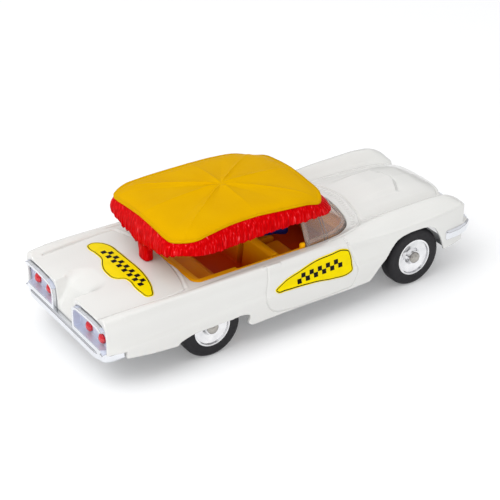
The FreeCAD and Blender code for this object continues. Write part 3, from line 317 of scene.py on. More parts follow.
def blended(tree, factor, plain, varied):
    """Runs from a plain colour to a varied one as the factor rises."""
    mix = added(tree, "Mix")
    mix.data_type = "RGBA"
    mix.inputs[6].default_value = plain
    tree.links.new(varied, mix.inputs[7])
    tree.links.new(factor, mix.inputs["Factor"])
    return mix.outputs[2]


def height_in(tree, vector):
    """The Z share of a vector output."""
    split = added(tree, "SeparateXYZ")
    tree.links.new(vector, split.inputs[0])
    return split.outputs["Z"]


class Finish:
    """A Principled material with procedural detail, whose sizes are in millimetres."""

    def __init__(self, name, **settings):
        self.material = bpy.data.materials.new(name)
        self.material.use_nodes = True
        self.tree = self.material.node_tree
        self.shader = self.tree.nodes["Principled BSDF"]
        for key, value in {"ior": 1.5, **settings}.items():
            self.shader.inputs[SHADER_INPUTS[key]].default_value = value
        self.place = added(self.tree, "TexCoord").outputs["Object"]

    def link(self, output, target):
        self.tree.links.new(output, target)

    def noise(self, size, detail=3.0, rough=0.5, stretch=(1, 1, 1)):
        """Noise with features of about that size, stretched by factors along X, Y and Z."""
        mapping = added(self.tree, "Mapping", Scale=[1 / (size * MM * factor) for factor in stretch])
        self.link(self.place, mapping.inputs["Vector"])
        noise = added(self.tree, "TexNoise", Scale=1.0, Detail=detail, Roughness=rough)
        self.link(mapping.outputs["Vector"], noise.inputs["Vector"])
        return noise.outputs["Fac"]

    def grey(self, source, low, high, start=0.3, end=0.7):
        """Maps the span from start to end onto low to high."""
        limits = {"From Min": start, "From Max": end, "To Min": low, "To Max": high}
        span = added(self.tree, "MapRange", **limits)
        self.link(source, span.inputs["Value"])
        return span.outputs["Result"]

    def colour(self, source):
        self.link(source, self.shader.inputs["Base Color"])
        return self

    def tinted(self, size, detail, dark, light, top=0.7):
        """Lets the colour drift between two tones."""
        return self.colour(ramped(self.tree, self.noise(size, detail), ((0.3, dark), (top, light))))

    def worn(self, size, detail, low, high):
        """Lets the roughness drift between two levels."""
        self.link(self.grey(self.noise(size, detail), low, high), self.shader.inputs["Roughness"])
        return self

    def grained(self, height, *noise):
        """Adds a bump of that height."""
        bump = added(self.tree, "Bump", Distance=height * MM)
        self.link(self.noise(*noise), bump.inputs["Height"])
        for socket in ("Normal", "Coat Normal"):
            self.link(bump.outputs["Normal"], self.shader.inputs[socket])
        return self


def dressed(piece, *coats):
    piece.data.materials.clear()
    for finish in coats:
        piece.data.materials.append(finish.material)


def white_paint():
    finish = Finish("white_enamel", roughness=0.25, coat=0.4, coat_roughness=0.06)
    return finish.tinted(26.0, 3.0, linear(219, 218, 215), linear(221, 221, 218))


def base_sheet():
    finish = Finish("pressed_base", metallic=0.9, roughness=0.45)
    finish.tinted(3.0, 5.0, linear(120, 122, 124), linear(150, 151, 152))
    return finish.worn(1.2, 4.0, 0.35, 0.6).grained(0.01, 0.25, 3.0, 0.6, (4, 1, 1))


def bare_steel(name, low, high, tone):
    finish = Finish(name, metallic=1.0, roughness=0.35)
    darker = tuple(channel * 0.72 for channel in tone[:3]) + (1.0,)
    finish.tinted(1.1, 4.0, darker, tone, 0.75)
    return finish.worn(0.6, 4.0, low, high).grained(0.006, 0.2, 3.0)


def clear_moulding(name="clear_moulding", clearness=0.86):
    finish = Finish(name, roughness=0.05, ior=1.47, transmission=clearness)
    finish.tinted(5.0, 3.0, linear(244, 226, 214), linear(250, 236, 226))
    return finish.worn(1.5, 4.0, 0.03, 0.11).grained(0.02, 3.0, 2.0)


def moulded_plastic(name, dark, light, roughness=0.35, shine=0.25):
    finish = Finish(name, roughness=roughness, shine=shine)
    finish.tinted(7.0, 3.0, dark, light, 0.72)
    return finish.worn(1.2, 4.0, roughness - 0.06, roughness + 0.08).grained(0.006, 0.5, 3.0)


def interior_moulding():
    """Golden at the rim, and darker and redder down in the tub: painted shade, standing in for the
    shadow deep inside the tub.
    """
    finish = moulded_plastic("interior_moulding", linear(250, 172, 0), linear(254, 186, 0), 0.4, 0.08)
    golden = finish.shader.inputs["Base Color"].links[0].from_socket
    # Painted shade: the colour darkens to a deep red-orange from 15.8 mm down to 8.5 mm, where the tub
    # lies in shadow.
    level = finish.grey(height_in(finish.tree, finish.place), 0.0, 1.0, 8.5 * MM, 15.8 * MM)
    return finish.colour(blended(finish.tree, level, linear(205, 62, 6), golden))


def fringe_moulding():
    """Red plastic whose strands carry pale pink streaks, painted highlights that stand in for glints on
    the glossy strands.
    """
    finish = Finish("fringe_moulding", roughness=0.3, shine=0.02)
    # The two pale tones are painted highlights: glints of light on the strands, spread by stretched
    # noise.
    tones = [(0.3, linear(176, 0, 4)), (0.56, linear(206, 0, 3)),
             (0.68, linear(222, 40, 46)), (0.82, linear(240, 130, 134))]
    finish.colour(ramped(finish.tree, finish.noise(0.42, 2.0, 0.5, (1, 1, 6)), tones))
    return finish.worn(1.2, 4.0, 0.24, 0.4).grained(0.01, 0.4, 3.0)


def plating(name="bright_plating", low=0.12, high=0.2, tone=(222, 224, 228), metallic=1.0):
    finish = Finish(name, metallic=metallic, roughness=low)
    lighter = [channel + 10 for channel in tone]
    finish.tinted(5.0, 2.0, linear(*tone), linear(*lighter))
    return finish.worn(3.0, 2.0, low, high).grained(0.01, 4.0, 2.0)


def turned_metal():
    finish = Finish("turned_hub", metallic=1.0, roughness=0.14)
    finish.tinted(2.0, 2.0, linear(222, 222, 224), linear(240, 240, 241))
    return finish.worn(1.4, 2.0, 0.1, 0.18)


def rubber():
    finish = Finish("black_rubber", roughness=0.6, shine=0.35)
    finish.tinted(1.4, 5.0, linear(19, 18, 21), linear(27, 25, 30), 0.75)
    return finish.worn(0.7, 4.0, 0.48, 0.66).grained(0.015, 0.22, 4.0)


def lens(name, dark, light):
    finish = Finish(name, roughness=0.12, coat=0.6)
    return finish.tinted(0.8, 3.0, dark, light).grained(0.01, 0.3, 2.0)


def label_sheet(name, dark, light):
    finish = Finish(name, roughness=0.32, shine=0.05)
    finish.tinted(2.5, 4.0, dark, light)
    return finish.worn(0.9, 3.0, 0.28, 0.38).grained(0.003, 0.4, 3.0)


finishes = {
    "white_paint": white_paint(),
    "base_metal": base_sheet(),
    "rivet_metal": bare_steel("rivet_steel", 0.3, 0.5, linear(176, 174, 170)),
    "spring_steel": bare_steel("spring_leaf", 0.25, 0.45, linear(150, 152, 158)),
    "clear_screen": clear_moulding(),
    "interior_yellow": interior_moulding(),
    "steering_white": moulded_plastic("steering_moulding", linear(222, 220, 212), linear(236, 234, 228)),
    "driver_blue": moulded_plastic("driver_moulding", linear(16, 34, 118), linear(24, 48, 142)),
    "plating": plating(),
    "lamp_red": lens("red_lens", linear(190, 14, 30), linear(222, 26, 44)),
    "lamp_clear": lens("clear_lens", linear(206, 210, 214), linear(232, 234, 236)),
    "label_yellow": label_sheet("label_sheet", linear(232, 208, 0), linear(240, 217, 0)),
    "canopy_yellow": moulded_plastic("canopy_moulding", linear(212, 160, 0), linear(216, 165, 0),
                                     0.4, 0.01),
    "fringe_red": fringe_moulding(),
    "axle_steel": bare_steel("axle_pin", 0.25, 0.4, linear(190, 186, 180)),
    "tyre_rubber": rubber(),
    "hub_metal": turned_metal(),
}

lamp_dish = plating("lamp_dish", 0.42, 0.5, (206, 211, 226), 0.5)
label_ink = label_sheet("label_ink", linear(18, 18, 20), linear(28, 27, 28))


# Body lines: shares of the half length, half width and deck height at each station, tail to nose.

station_shares = [-0.975, -0.90, -0.74, -0.55, -0.30, -0.03, 0.20, 0.38, 0.58, 0.74, 0.84, 0.92, 0.965]
LINES = [
    # (y shares, z shares) of each line, from the middle of the deck down to the sill
    ([0.0] * 13,
     [0.93, 0.965, 0.99, 1.0, 1.0, 1.0, 1.01, 1.03, 1.06, 1.06, 1.04, 0.97, 0.89]),
    ([0.22] * 13,
     [0.93, 0.965, 0.99, 1.0, 1.0, 1.0, 1.01, 1.025, 1.05, 1.05, 1.03, 0.96, 0.885]),
    ([0.42] * 13,
     [0.93, 0.96, 0.99, 1.0, 1.0, 1.0, 1.005, 1.015, 1.025, 1.015, 0.985, 0.925, 0.865]),
    ([0.72, 0.74, 0.79, 0.83, 0.79, 0.76, 0.735, 0.60, 0.55, 0.54, 0.52, 0.48, 0.45],
     [0.93, 0.945, 0.97, 0.99, 0.995, 0.995, 0.99, 0.985, 0.97, 0.96, 0.945, 0.905, 0.855]),
    ([0.84, 0.85, 0.855, 0.86, 0.86, 0.85, 0.81, 0.76, 0.745, 0.745, 0.74, 0.735, 0.725],
     [0.995, 1.01, 1.015, 1.01, 1.01, 1.005, 1.01, 1.055, 1.095, 1.10, 1.08, 0.985, 0.85]),
    ([0.895, 0.90, 0.905, 0.905, 0.905, 0.905, 0.91, 0.915, 0.92, 0.92, 0.91, 0.885, 0.83],
     [0.965, 0.99, 0.995, 0.99, 0.99, 0.98, 0.945, 0.91, 0.91, 0.94, 0.955, 0.95, 0.835]),
    ([0.925, 0.945, 0.96, 0.96, 0.96, 0.96, 0.955, 0.95, 0.95, 0.945, 0.935, 0.905, 0.845],
     [0.80, 0.82, 0.825, 0.825, 0.825, 0.825, 0.815, 0.80, 0.80, 0.81, 0.81, 0.80, 0.76]),
    ([0.925, 0.945, 0.965, 0.97, 0.97, 0.97, 0.97, 0.97, 0.97, 0.96, 0.945, 0.91, 0.845],
     [0.65, 0.655, 0.66, 0.675, 0.70, 0.705, 0.705, 0.69, 0.69, 0.69, 0.685, 0.68, 0.67]),
    ([0.93, 0.965, 0.99, 1.0, 1.0, 1.0, 0.995, 0.99, 0.985, 0.97, 0.95, 0.91, 0.845],
     [0.57, 0.57, 0.575, 0.60, 0.625, 0.625, 0.625, 0.615, 0.605, 0.605, 0.605, 0.605, 0.605]),
    ([0.905, 0.95, 0.98, 0.985, 0.985, 0.985, 0.985, 0.98, 0.975, 0.96, 0.94, 0.90, 0.835],
     [0.44, 0.43, 0.392, 0.37, 0.312, 0.328, 0.327, 0.338, 0.35, 0.385, 0.42, 0.44, 0.445]),
]
OUTWARD_FROM = 3
UPWARD_BEFORE = 6
SPANS = [6, 8, 10, 8, 5, 8, 6, 6, 8]

# The valley between the tail pods: its floor as (x, z), where it narrows, and how wide it is there
valley_floor = [(-41.5, 17.93), (-44.5, 17.02), (-47.0, 15.71), (-48.7, 13.4), (-51.4, 9.46)]
VALLEY_NARROWS = (-43.0, -49.5)
VALLEY_FLAT = (1.6, 3.5)
VALLEY_RIM = (9.6, 4.6)
VALLEY_END = 12.0


def body_rings(step, growth=0.0, drop=0.0, start=None, end=None):
    """Rings round the body at even steps along X. Growth moves upper lines up and side lines out."""
    stations = np.array(station_shares) * HALF_LENGTH
    start = stations[0] if start is None else start
    end = stations[-1] if end is None else end
    places = np.linspace(start, end, max(int((end - start) / step), 2))
    lines = []
    for number, (y_shares, z_shares) in enumerate(LINES):
        y = eased(stations, np.array(y_shares) * HALF_WIDTH, places)
        z = eased(stations, np.array(z_shares) * DECK, places)
        out = growth if number >= OUTWARD_FROM else 0.0
        up = growth if number < UPWARD_BEFORE else 0.0
        lines.append(np.stack([y + out, z + up], axis=1))
    lines = np.stack(lines, axis=1)
    lines[:, -1, 1] -= drop
    rings = []
    for x, half in zip(places, lines):
        chord = lengths_along(half)
        wanted = [np.linspace(near, far, span, endpoint=False)
                  for near, far, span in zip(chord, chord[1:], SPANS)]
        curve = eased(chord, half, np.concatenate(wanted + [[chord[-1]]]))
        if growth == 0.0:
            curve[:, 1] = with_valley(x, curve)
        rings.append([(x, -y, z) for y, z in curve[:0:-1]] + [(x, y, z) for y, z in curve])
    return rings


def with_valley(x, curve):
    """Heights of a section with the valley between the tail pods let in."""
    y, z = np.abs(curve[:, 0]), curve[:, 1]
    if x > valley_floor[0][0]:
        return z
    table = np.array(valley_floor)
    floor = eased(-table[:, 0], table[:, 1], [-x])[0]
    narrowed = smooth_step(*VALLEY_NARROWS, x)
    flat, rim = (np.interp(narrowed, (0, 1), widths) for widths in (VALLEY_FLAT, VALLEY_RIM))
    level = floor + (DECK * 1.02 - floor) * smooth_step(flat, rim, y)
    return np.where(y < VALLEY_END, np.minimum(z, level), z)


# Wheel openings. A reach runs across the car, from the inside of an opening to its outside.

BELOW = -1.0
ARCH_REACH = (14.2, 23.4)
POCKET_REACH = (14.2, 17.9)
POCKET_AHEAD = 1.9
POCKET_ABOVE = 1.0
POCKET_FRONT = 43.6
POCKET_TOP = 16.3
DRUM_REACH = (12.85, 18.85)
DRUM_RADIUS = 8.5
SLOT_REACH = (12.85, 19.5)
SLOT_HALF = 2.9
WHEEL_RISE = 0.5
front_arch_shares = [(-1.99, -0.25), (-1.88, -0.13), (-1.50, 0.28), (-1.10, 0.69), (-0.81, 0.92),
                     (-0.41, 1.02), (0.0, 1.045), (0.32, 1.03), (0.54, 0.985), (0.72, 0.88),
                     (0.86, 0.66), (1.05, 0.22), (1.13, 0.0), (1.20, -0.25)]
rear_arch_shares = [(-1.36, -0.35), (-1.24, 0.0), (-1.0, 0.11), (-0.75, 0.17), (-0.27, 0.196),
                    (0.47, 0.216), (1.10, 0.205), (1.20, 0.15), (1.20, 0.03), (1.156, -0.10),
                    (1.22, -0.19), (1.32, -0.237), (1.5, -0.30)]


def arch_outline(axle_x, shares):
    curve = round_path([(axle_x + x * AXLE_Z, AXLE_Z + z * AXLE_Z) for x, z in shares], 60)
    return [(curve[0][0], BELOW)] + [tuple(p) for p in curve] + [(curve[-1][0], BELOW)]


def wheel_cutters():
    angles = np.radians(np.arange(0, 360, 4))
    circle = np.stack([np.cos(angles), np.sin(angles)], axis=1)
    cutters = []
    for axle_x, shares in ((FRONT_AXLE_X, front_arch_shares), (REAR_AXLE_X, rear_arch_shares)):
        hub = (axle_x, AXLE_Z + WHEEL_RISE)
        arch = arch_outline(axle_x, shares)
        slot = [(axle_x - SLOT_HALF, BELOW), (axle_x + SLOT_HALF, BELOW)]
        slot += list(circle[:46] * SLOT_HALF + hub)
        forms = [(arch, ARCH_REACH), (circle * DRUM_RADIUS + hub, DRUM_REACH), (slot, SLOT_REACH)]
        if axle_x == FRONT_AXLE_X:
            pocket = [(min(x + POCKET_AHEAD, POCKET_FRONT) if x > axle_x else x,
                       min(z + POCKET_ABOVE, POCKET_TOP)) for x, z in arch]
            forms.append((pocket, POCKET_REACH))
        for outline, (inside, outside) in forms:
            cutters += [prism(outline, "y", way * inside, way * outside) for way in (1, -1)]
    return cutters


# Cabin opening, and the windscreen's bow in front of it

bow_shares = [(0.0, 1.0), (0.23, 0.985), (0.42, 0.96), (0.59, 0.925), (0.72, 0.855), (0.815, 0.77),
              (0.883, 0.65), (0.926, 0.505), (0.958, 0.35), (0.985, 0.19), (1.0, 0.0)]
CABIN_HALF = 15.4
CABIN_REAR = -26.5
CABIN_CORNER = 2.2
SCREEN_BACK = 3.6
CABIN_APEX = 20.45


def cabin_outline():
    side = [(SCREEN_BACK + (CABIN_APEX - SCREEN_BACK) * x, CABIN_HALF * y) for x, y in bow_shares]
    bow = round_path(side + [(x, -y) for x, y in side[-2::-1]], 80)
    centre = (CABIN_REAR + CABIN_CORNER, CABIN_CORNER - CABIN_HALF)
    angles = np.radians(np.arange(0, 91, 10))
    right = np.stack([-np.sin(angles), -np.cos(angles)], axis=1) * CABIN_CORNER + centre
    return np.concatenate([bow, right, right[::-1] * (1, -1)])


# The casting's shell. Cutters run past the skin to the far levels.

pod_shares = [(0.245, 0.56), (0.24, 0.765), (0.256, 0.917), (0.31, 0.963), (0.41, 0.985),
              (0.68, 1.0), (0.90, 0.99), (0.98, 0.94), (1.0, 0.795), (0.985, 0.56)]
nose_plan_shares = [(0.9615, 0.0), (0.9576, 0.147), (0.944, 0.294), (0.929, 0.392), (0.917, 0.456),
                    (0.931, 0.52), (0.953, 0.617), (0.957, 0.70), (0.955, 0.765), (0.944, 0.833),
                    (0.925, 0.892), (0.896, 0.941), (0.86, 0.985)]
POD_SIDE = 18.4
POD_TOP = 16.35
POD_FLOOR = -48.95
SOCKET_GAP = 0.15
FAR = 60.0
ABOVE = 24.0
WALL = 1.1
HOLLOW_DROP = 6.0
HOLLOW_ENDS = (-43.0, 46.4)
CABIN_BOTTOM = 15.2
UNDERCUTS = [(-FAR, -46.05, 9.7), (47.49, FAR, 9.9)]
NOSE_TRIM_LOW = 13.3
CORNER_TRIM_LOW = 12.5
CORNER_TRIM_SIDE = 12.4


def pod_outline(growth):
    outline = np.array(pod_shares) * (POD_SIDE, POD_TOP)
    middle = outline.mean(axis=0)
    half = (outline - middle).max(axis=0)
    return middle + (outline - middle) * (1 + growth / half)


def body_shell():
    """The casting's skin with its hollow, cabin, wheel openings, pod sockets and rounded nose."""
    piece = loops_piece("body_shell", body_rings(0.4))
    cutters = [loops_piece("cutter", body_rings(1.0, -WALL, HOLLOW_DROP, *HOLLOW_ENDS)),
               prism(cabin_outline(), "z", CABIN_BOTTOM, ABOVE)] + wheel_cutters()
    for near, far, high in UNDERCUTS:
        cutters.append(prism([(near, BELOW), (far, BELOW), (far, high), (near, high)], "y", -25, 25))
    for way in (1, -1):
        cutters.append(prism(pod_outline(SOCKET_GAP) * (way, 1), "x", -FAR, POD_FLOOR))
        nose = round_path([(x * HALF_LENGTH, way * y * HALF_WIDTH) for x, y in nose_plan_shares], 40)
        corner = [tuple(p) for p in nose if abs(p[1]) > CORNER_TRIM_SIDE]
        for edge, inner, low, high in ((nose, 0.0, NOSE_TRIM_LOW, ABOVE),
                                       (corner, corner[0][1], CORNER_TRIM_LOW, NOSE_TRIM_LOW + 0.1)):
            outline = [tuple(p) for p in edge] + [(FAR, nose[-1][1]), (FAR, inner)]
            cutters.append(prism(outline, "z", low, high))
    cut_by(piece, cutters)
    return remeshed(piece, 0.14, 4)


# Lines and small forms on the casting, pressed into the dense skin before it is thinned. Those on the
# top are given for the car's left half, and start at its middle.

door_path = [(12.7, 18.6), (12.9, 17.1), (14.7, 9.1), (13.2, 6.75), (11.0, 6.5), (4.2, 6.35),
             (-5.8, 6.6), (-7.8, 7.0), (-9.7, 8.4), (-10.6, 10.5), (-10.0, 14.6), (-9.3, 18.6)]
boot_path = [(-28.9, 14.4), (-29.4, 15.7), (-31.0, 16.2), (-36.0, 16.2), (-48.0, 15.6)]
handle_path = [(-10.3, 18.3), (-6.0, 18.3)]
crease_path = [(-46.0, 17.9), (-17.0, 18.35), (-5.0, 18.3), (7.6, 17.8), (13.3, 17.1), (20.6, 16.7),
               (28.0, 16.55), (37.0, 16.95), (44.6, 17.35), (47.0, 17.45)]
cowl_path = [(23.9, 0.0), (23.75, 2.7), (23.2, 5.4), (22.0, 10.1), (20.4, 13.1), (17.9, 15.2),
             (13.5, 16.1), (9.0, 16.4)]
scoop_path = [(38.9, 0.0), (38.7, 2.0), (37.9, 3.5), (37.2, 4.8), (36.5, 6.2)]
gutter_path = [(23.6, 11.5), (30.6, 11.5), (38.5, 11.2), (43.0, 10.9), (46.2, 10.4)]
bonnet_path = [(49.35, 0.0), (49.15, 2.0), (48.5, 5.0), (47.65, 7.2), (46.9, 8.9), (46.4, 10.0)]
vent_path = [(x - 1.5, y * 0.965) for x, y in cowl_path[:6]]
SIDE_FROM = 17.0
TOP_FROM = 12.5
VENT_PITCH = 0.95
VENT_DEPTH = 0.26
VENT_BELL = 0.55
VENT_HALF = 13.5
VENT_SPAN = (15.0, 24.0)
SCOOP_HEIGHT = 0.8
SCOOP_START = (24.0, 33.0)
SCOOP_SIDE = (5.0, 6.8)
SCOOP_LIP = (-0.3, 0.15)
NOZZLES = [(20.9, 9.6, 0.4), (19.4, 12.3, 0.3)]
NOZZLE_HEIGHT = 0.3
DIMPLE = (13.2, 17.3)
DIMPLE_RADIUS = (0.15, 0.42)
DIMPLE_DEPTH = 0.5


def both_sides(path):
    """A path over the car's middle from its left half."""
    return path[::-1] + [(x, -y) for x, y in path if y > 0]


# Each line is a path, its height (a groove's is negative) and the half width of its bell

side_lines = [(door_path, -0.3, 0.15), (crease_path, 0.16, 0.4)]
top_lines = [(both_sides(boot_path), -0.32, 0.15), (both_sides(cowl_path), -0.42, 0.2),
             (both_sides(bonnet_path), -0.34, 0.15),
             (both_sides([(x + 0.55, y * 1.03) for x, y in boot_path]), 0.12, 0.3),
             (both_sides([(x + 0.75, y) for x, y in scoop_path]), -0.22, 0.25)]
for path, height, width in ((gutter_path, -0.26, 0.17), (handle_path, 0.35, 0.25)):
    top_lines += [(path, height, width), ([(x, -y) for x, y in path], height, width)]


def nearness(points, path, width):
    """How near each flat point is to a path: 1 on it, falling off as a bell of that half width."""
    line = round_path(path, max(int(lengths_along(path)[-1] / 0.08), 12))
    tree = KDTree(len(line))
    for index, (first, second) in enumerate(line):
        tree.insert((first, second, 0), index)
    tree.balance()
    share = np.zeros(len(points))
    reach = width * 3
    box = np.all((points > line.min(axis=0) - reach) & (points < line.max(axis=0) + reach), axis=1)
    for index in np.nonzero(box)[0]:
        away = tree.find((points[index, 0], points[index, 1], 0))[2]
        share[index] = math.exp(-(away / width) ** 2)
    return share


def pressed(piece):
    """Moves the skin in or out along its normals for the panel lines and small forms."""
    verts, normals = verts_of(piece), verts_of(piece, "normal")
    y, z = verts[:, 1], verts[:, 2]
    outwards = np.sign(y) == np.sign(normals[:, 1])
    side = np.nonzero((np.abs(y) > SIDE_FROM) & (np.abs(normals[:, 1]) > 0.25) & outwards)[0]
    top = np.nonzero((normals[:, 2] > 0.2) & (z > TOP_FROM))[0]
    side_flat, top_flat = verts[side][:, [0, 2]], verts[top][:, :2]
    move = np.zeros(len(verts))
    for skin, flat, lines in ((side, side_flat, side_lines), (top, top_flat, top_lines)):
        for path, height, width in lines:
            move[skin] += height * nearness(flat, path, width)
    ahead, across = top_flat[:, 0], np.abs(top_flat[:, 1])
    lip = np.interp(across, [p[1] for p in scoop_path], [p[0] for p in scoop_path])
    scoop = (1 - smooth_step(*SCOOP_SIDE, across)) * (1 - smooth_step(*SCOOP_LIP, ahead - lip))
    move[top] += SCOOP_HEIGHT * scoop * smooth_step(*SCOOP_START, ahead)
    arc = nearness(top_flat, both_sides(vent_path), VENT_BELL)
    comb = np.maximum(np.sin(top_flat[:, 1] * 2 * math.pi / VENT_PITCH), 0) ** 0.5
    vents = (across < VENT_HALF) & (ahead > VENT_SPAN[0]) & (ahead < VENT_SPAN[1])
    move[top] -= VENT_DEPTH * smooth_step(0.25, 0.6, arc) * comb * vents
    for place_x, place_y, radius in NOZZLES:
        away = np.hypot(ahead - place_x, across - place_y)
        move[top] += NOZZLE_HEIGHT * (1 - smooth_step(radius * 0.6, radius * 1.3, away))
    away = norm(side_flat - DIMPLE, axis=1)
    move[side] -= DIMPLE_DEPTH * (1 - smooth_step(*DIMPLE_RADIUS, away))
    set_verts(piece, verts + normals * move[:, None])
    return piece


body = pressed(body_shell())
body_skin = skin_tree(verts_of(body), body.data)
thinned(body, 0.6)
placed(body, ["body_casting"], "white_paint")

# Canopy. Edges are given as shares of its span, half width and fall, from front to rear.

canopy_edge_shares = [(1.01, 0.0, 0.42), (1.01, 0.38, 0.52), (1.0, 0.755, 0.80), (0.945, 0.868, 0.92),
                      (0.70, 0.95, 0.63), (0.41, 0.962, 0.48), (0.06, 0.94, 0.39), (-0.28, 0.943, 0.40),
                      (-0.58, 0.975, 0.52), (-0.75, 0.985, 0.62), (-0.887, 0.91, 0.68),
                      (-0.99, 0.78, 0.68), (-1.0, 0.68, 0.65), (-1.0, 0.38, 0.56), (-1.0, 0.0, 0.49)]
fringe_edge_shares = [(1.155, 0.0, 0.875), (1.155, 0.38, 0.875), (1.145, 0.74, 0.875),
                      (1.075, 0.875, 0.845), (0.73, 1.0, 0.77), (0.41, 1.015, 0.745),
                      (0.06, 1.01, 0.76), (-0.28, 1.02, 0.79), (-0.58, 1.04, 0.78),
                      (-0.765, 1.045, 0.715), (-0.917, 0.956, 0.68), (-1.025, 0.81, 0.73),
                      (-1.035, 0.70, 0.79), (-1.035, 0.38, 0.91), (-1.035, 0.0, 1.0)]
CANOPY_MIDDLE = -10.8
CANOPY_SPAN = 20.3
CANOPY_HALF = 15.9
CROWN = 31.9
CANOPY_DROP = 4.1
FRINGE_FALL = 8.8
ROOF_PEAK_AHEAD = 0.95
ROOF_SKIN = 0.6
ROOF_LOWERED = 0.38
ROOF_FALL = ([0, 0.33, 0.66, 0.86, 1.0], [0, 0.06, 0.23, 0.49, 1.0])
FOLDS = [0, 3.1, 6.0, 10.0, 14.0, 18.0, 22.0, 24.9]  # where they meet the edge, counted in its points
FOLD_HEIGHT = 0.4
PANEL_SAG = 0.9


def canopy_curve(shares, height, count):
    """A smooth closed curve round the canopy, as (x, y, z)."""
    half = [(CANOPY_MIDDLE + x * CANOPY_SPAN, y * CANOPY_HALF, CROWN - z * height) for x, y, z in shares]
    whole = half + [(x, -y, z) for x, y, z in half[-2:0:-1]]
    wrap = np.array(whole[-3:] + whole + whole[:4])
    chord = lengths_along(wrap)
    spans = zip(chord[3:-4], chord[4:-3])
    wanted = [np.linspace(near, far, count, endpoint=False) for near, far in spans]
    return catmull(wrap, chord, np.concatenate(wanted))


def canopy_roof():
    """A thin skin in rings from the edge up to the peak, with folds that run out from it."""
    per_span = 20
    edge = canopy_curve(canopy_edge_shares, CANOPY_DROP, per_span)
    count = len(edge)
    place = np.arange(count) / per_span
    half = count / per_span / 2
    near = np.min([np.abs((place - fold + half) % (2 * half) - half) for fold in FOLDS], axis=0)
    peak = np.array([CANOPY_MIDDLE + ROOF_PEAK_AHEAD, 0, CROWN])
    rings = []
    for level in np.linspace(1.0, 0.0, 44)[:-1]:
        ring = peak + (edge - peak) * (level, level, 0)
        ring[:, 2] = CROWN - (CROWN - edge[:, 2]) * eased(*ROOF_FALL, [level])[0]
        fold = np.exp(-near * level * 3.4 / 0.45) * smooth_step(0.0, 0.15, level) * (1.15 - level)
        ring[:, 2] += FOLD_HEIGHT * fold - ROOF_LOWERED * (level < 1)
        ring[:, 2] -= PANEL_SAG * smooth_step(0.0, 1.7, near) * level * (1 - level)
        rings.append(ring)
    top = np.concatenate(rings + [[peak - (0, 0, ROOF_LOWERED)]])
    layer = len(top)
    faces = ring_faces(count, (0, layer))
    for first in (0, layer):
        starts = range(first, first + len(rings) * count, count)
        faces += ring_faces(count, starts) + fan(count, starts[-1], first + layer - 1)
    return closed_piece("canopy_roof", np.concatenate([top, top - (0, 0, ROOF_SKIN)]), faces)


placed(canopy_roof(), ["canopy_top"], "canopy_yellow", "canopy")

STRAND_SEED = 11
STRAND_WIDTHS = (0.6, 1.2)
MEAN_STRAND = 0.92
STRAND_LIMITS = [(0.18, 0.36), (-0.15, 0.15), (-0.16, 0.16), (-0.16, 0.16)]  # bulk, lean, length, slant
FRINGE_THICKNESS = 0.75
FRINGE_BELLY = 0.3
FRINGE_REAR = (-31.2, -30.2)
CALM_CORNER = -26.6
CALM_WIDTH = 4.2


def squares_out(loop):
    """Flat directions square to a closed path, to the right of the way it runs."""
    along = np.roll(loop, -1, axis=0) - np.roll(loop, 1, axis=0)
    square = np.stack([along[:, 1], -along[:, 0]], axis=1)
    return square / norm(square, axis=1)[:, None]


def fringe():
    """A skirt of moulded strands with an uneven lower edge."""
    per_span = 40
    top = canopy_curve(canopy_edge_shares, CANOPY_DROP, per_span) - (0, 0, 0.7)
    low = canopy_curve(fringe_edge_shares, FRINGE_FALL, per_span)
    level_out = squares_out(low[:, :2])
    level_out *= np.sign(((low[:, :2] - (CANOPY_MIDDLE, 0)) * level_out).sum(axis=1))[:, None]
    out = np.insert(level_out, 2, 0.0, axis=1)
    slide = np.stack([-out[:, 1], out[:, 0], out[:, 2]], axis=1)
    steps = norm(np.roll(low, -1, axis=0) - low, axis=1)
    place = np.concatenate([[0], np.cumsum(steps)[:-1]])
    generator = np.random.RandomState(STRAND_SEED)
    widths = generator.uniform(*STRAND_WIDTHS, int(steps.sum() / MEAN_STRAND))
    ends = np.concatenate([[0], np.cumsum(widths)]) * steps.sum() / widths.sum()
    strand = span_of(ends, place)
    share = (place - ends[strand]) / (ends[strand + 1] - ends[strand])
    arch = np.clip(np.sin(share * math.pi), 0, 1)
    ridge = np.sqrt(arch) - 0.6
    bulk, lean, longer, slant = (generator.uniform(low_end, high_end, len(widths))[strand]
                                 for low_end, high_end in STRAND_LIMITS)
    rear = 1 - smooth_step(*FRINGE_REAR, low[:, 0])
    corner = np.exp(-((low[:, 0] - CALM_CORNER) / CALM_WIDTH) ** 4) * (np.abs(low[:, 1]) > 10)
    start = 0.06 + 0.42 * rear
    calm = 1 - 0.92 * corner
    longer *= 1 + 1.6 * rear
    rows = []
    for level in np.linspace(0, 1, 18):
        grown = smooth_step(start, start + 0.3, level) * calm
        push = ridge * bulk * grown + lean * grown * level + FRINGE_BELLY * math.sin(math.pi * level)
        row = top + (low - top) * level + out * push[:, None] + slide * (slant * grown * level)[:, None]
        row[:, 2] -= (longer * calm + 0.3 * (0.5 - arch)) * calm * level ** 3
        rows.append(row)
    inner = [top - out * FRINGE_THICKNESS + (low - top) * level for level in np.linspace(0, 1, 4)]
    inner[-1][:, 2] = rows[-1][:, 2] + 0.1
    loops = inner[::-1] + rows
    count = len(top)
    starts = list(range(0, len(loops) * count, count)) + [0]
    return closed_piece("canopy_skirt", np.concatenate(loops), ring_faces(count, starts))


def rounded_box(x, y, z, half_x, half_y, power=3.5):
    """A soft-cornered level ring."""
    turn = np.linspace(0, 2 * math.pi, 32, endpoint=False)
    cosine, sine = np.cos(turn), np.sin(turn)
    spread = (np.abs(cosine) ** power + np.abs(sine) ** power) ** (-1 / power)
    return np.stack([x + half_x * cosine * spread, y + half_y * sine * spread, np.full(32, z)], axis=1)


# The fringe's rear leg as (z, half y, half x, how far ahead), its peg, and the clip on the windscreen

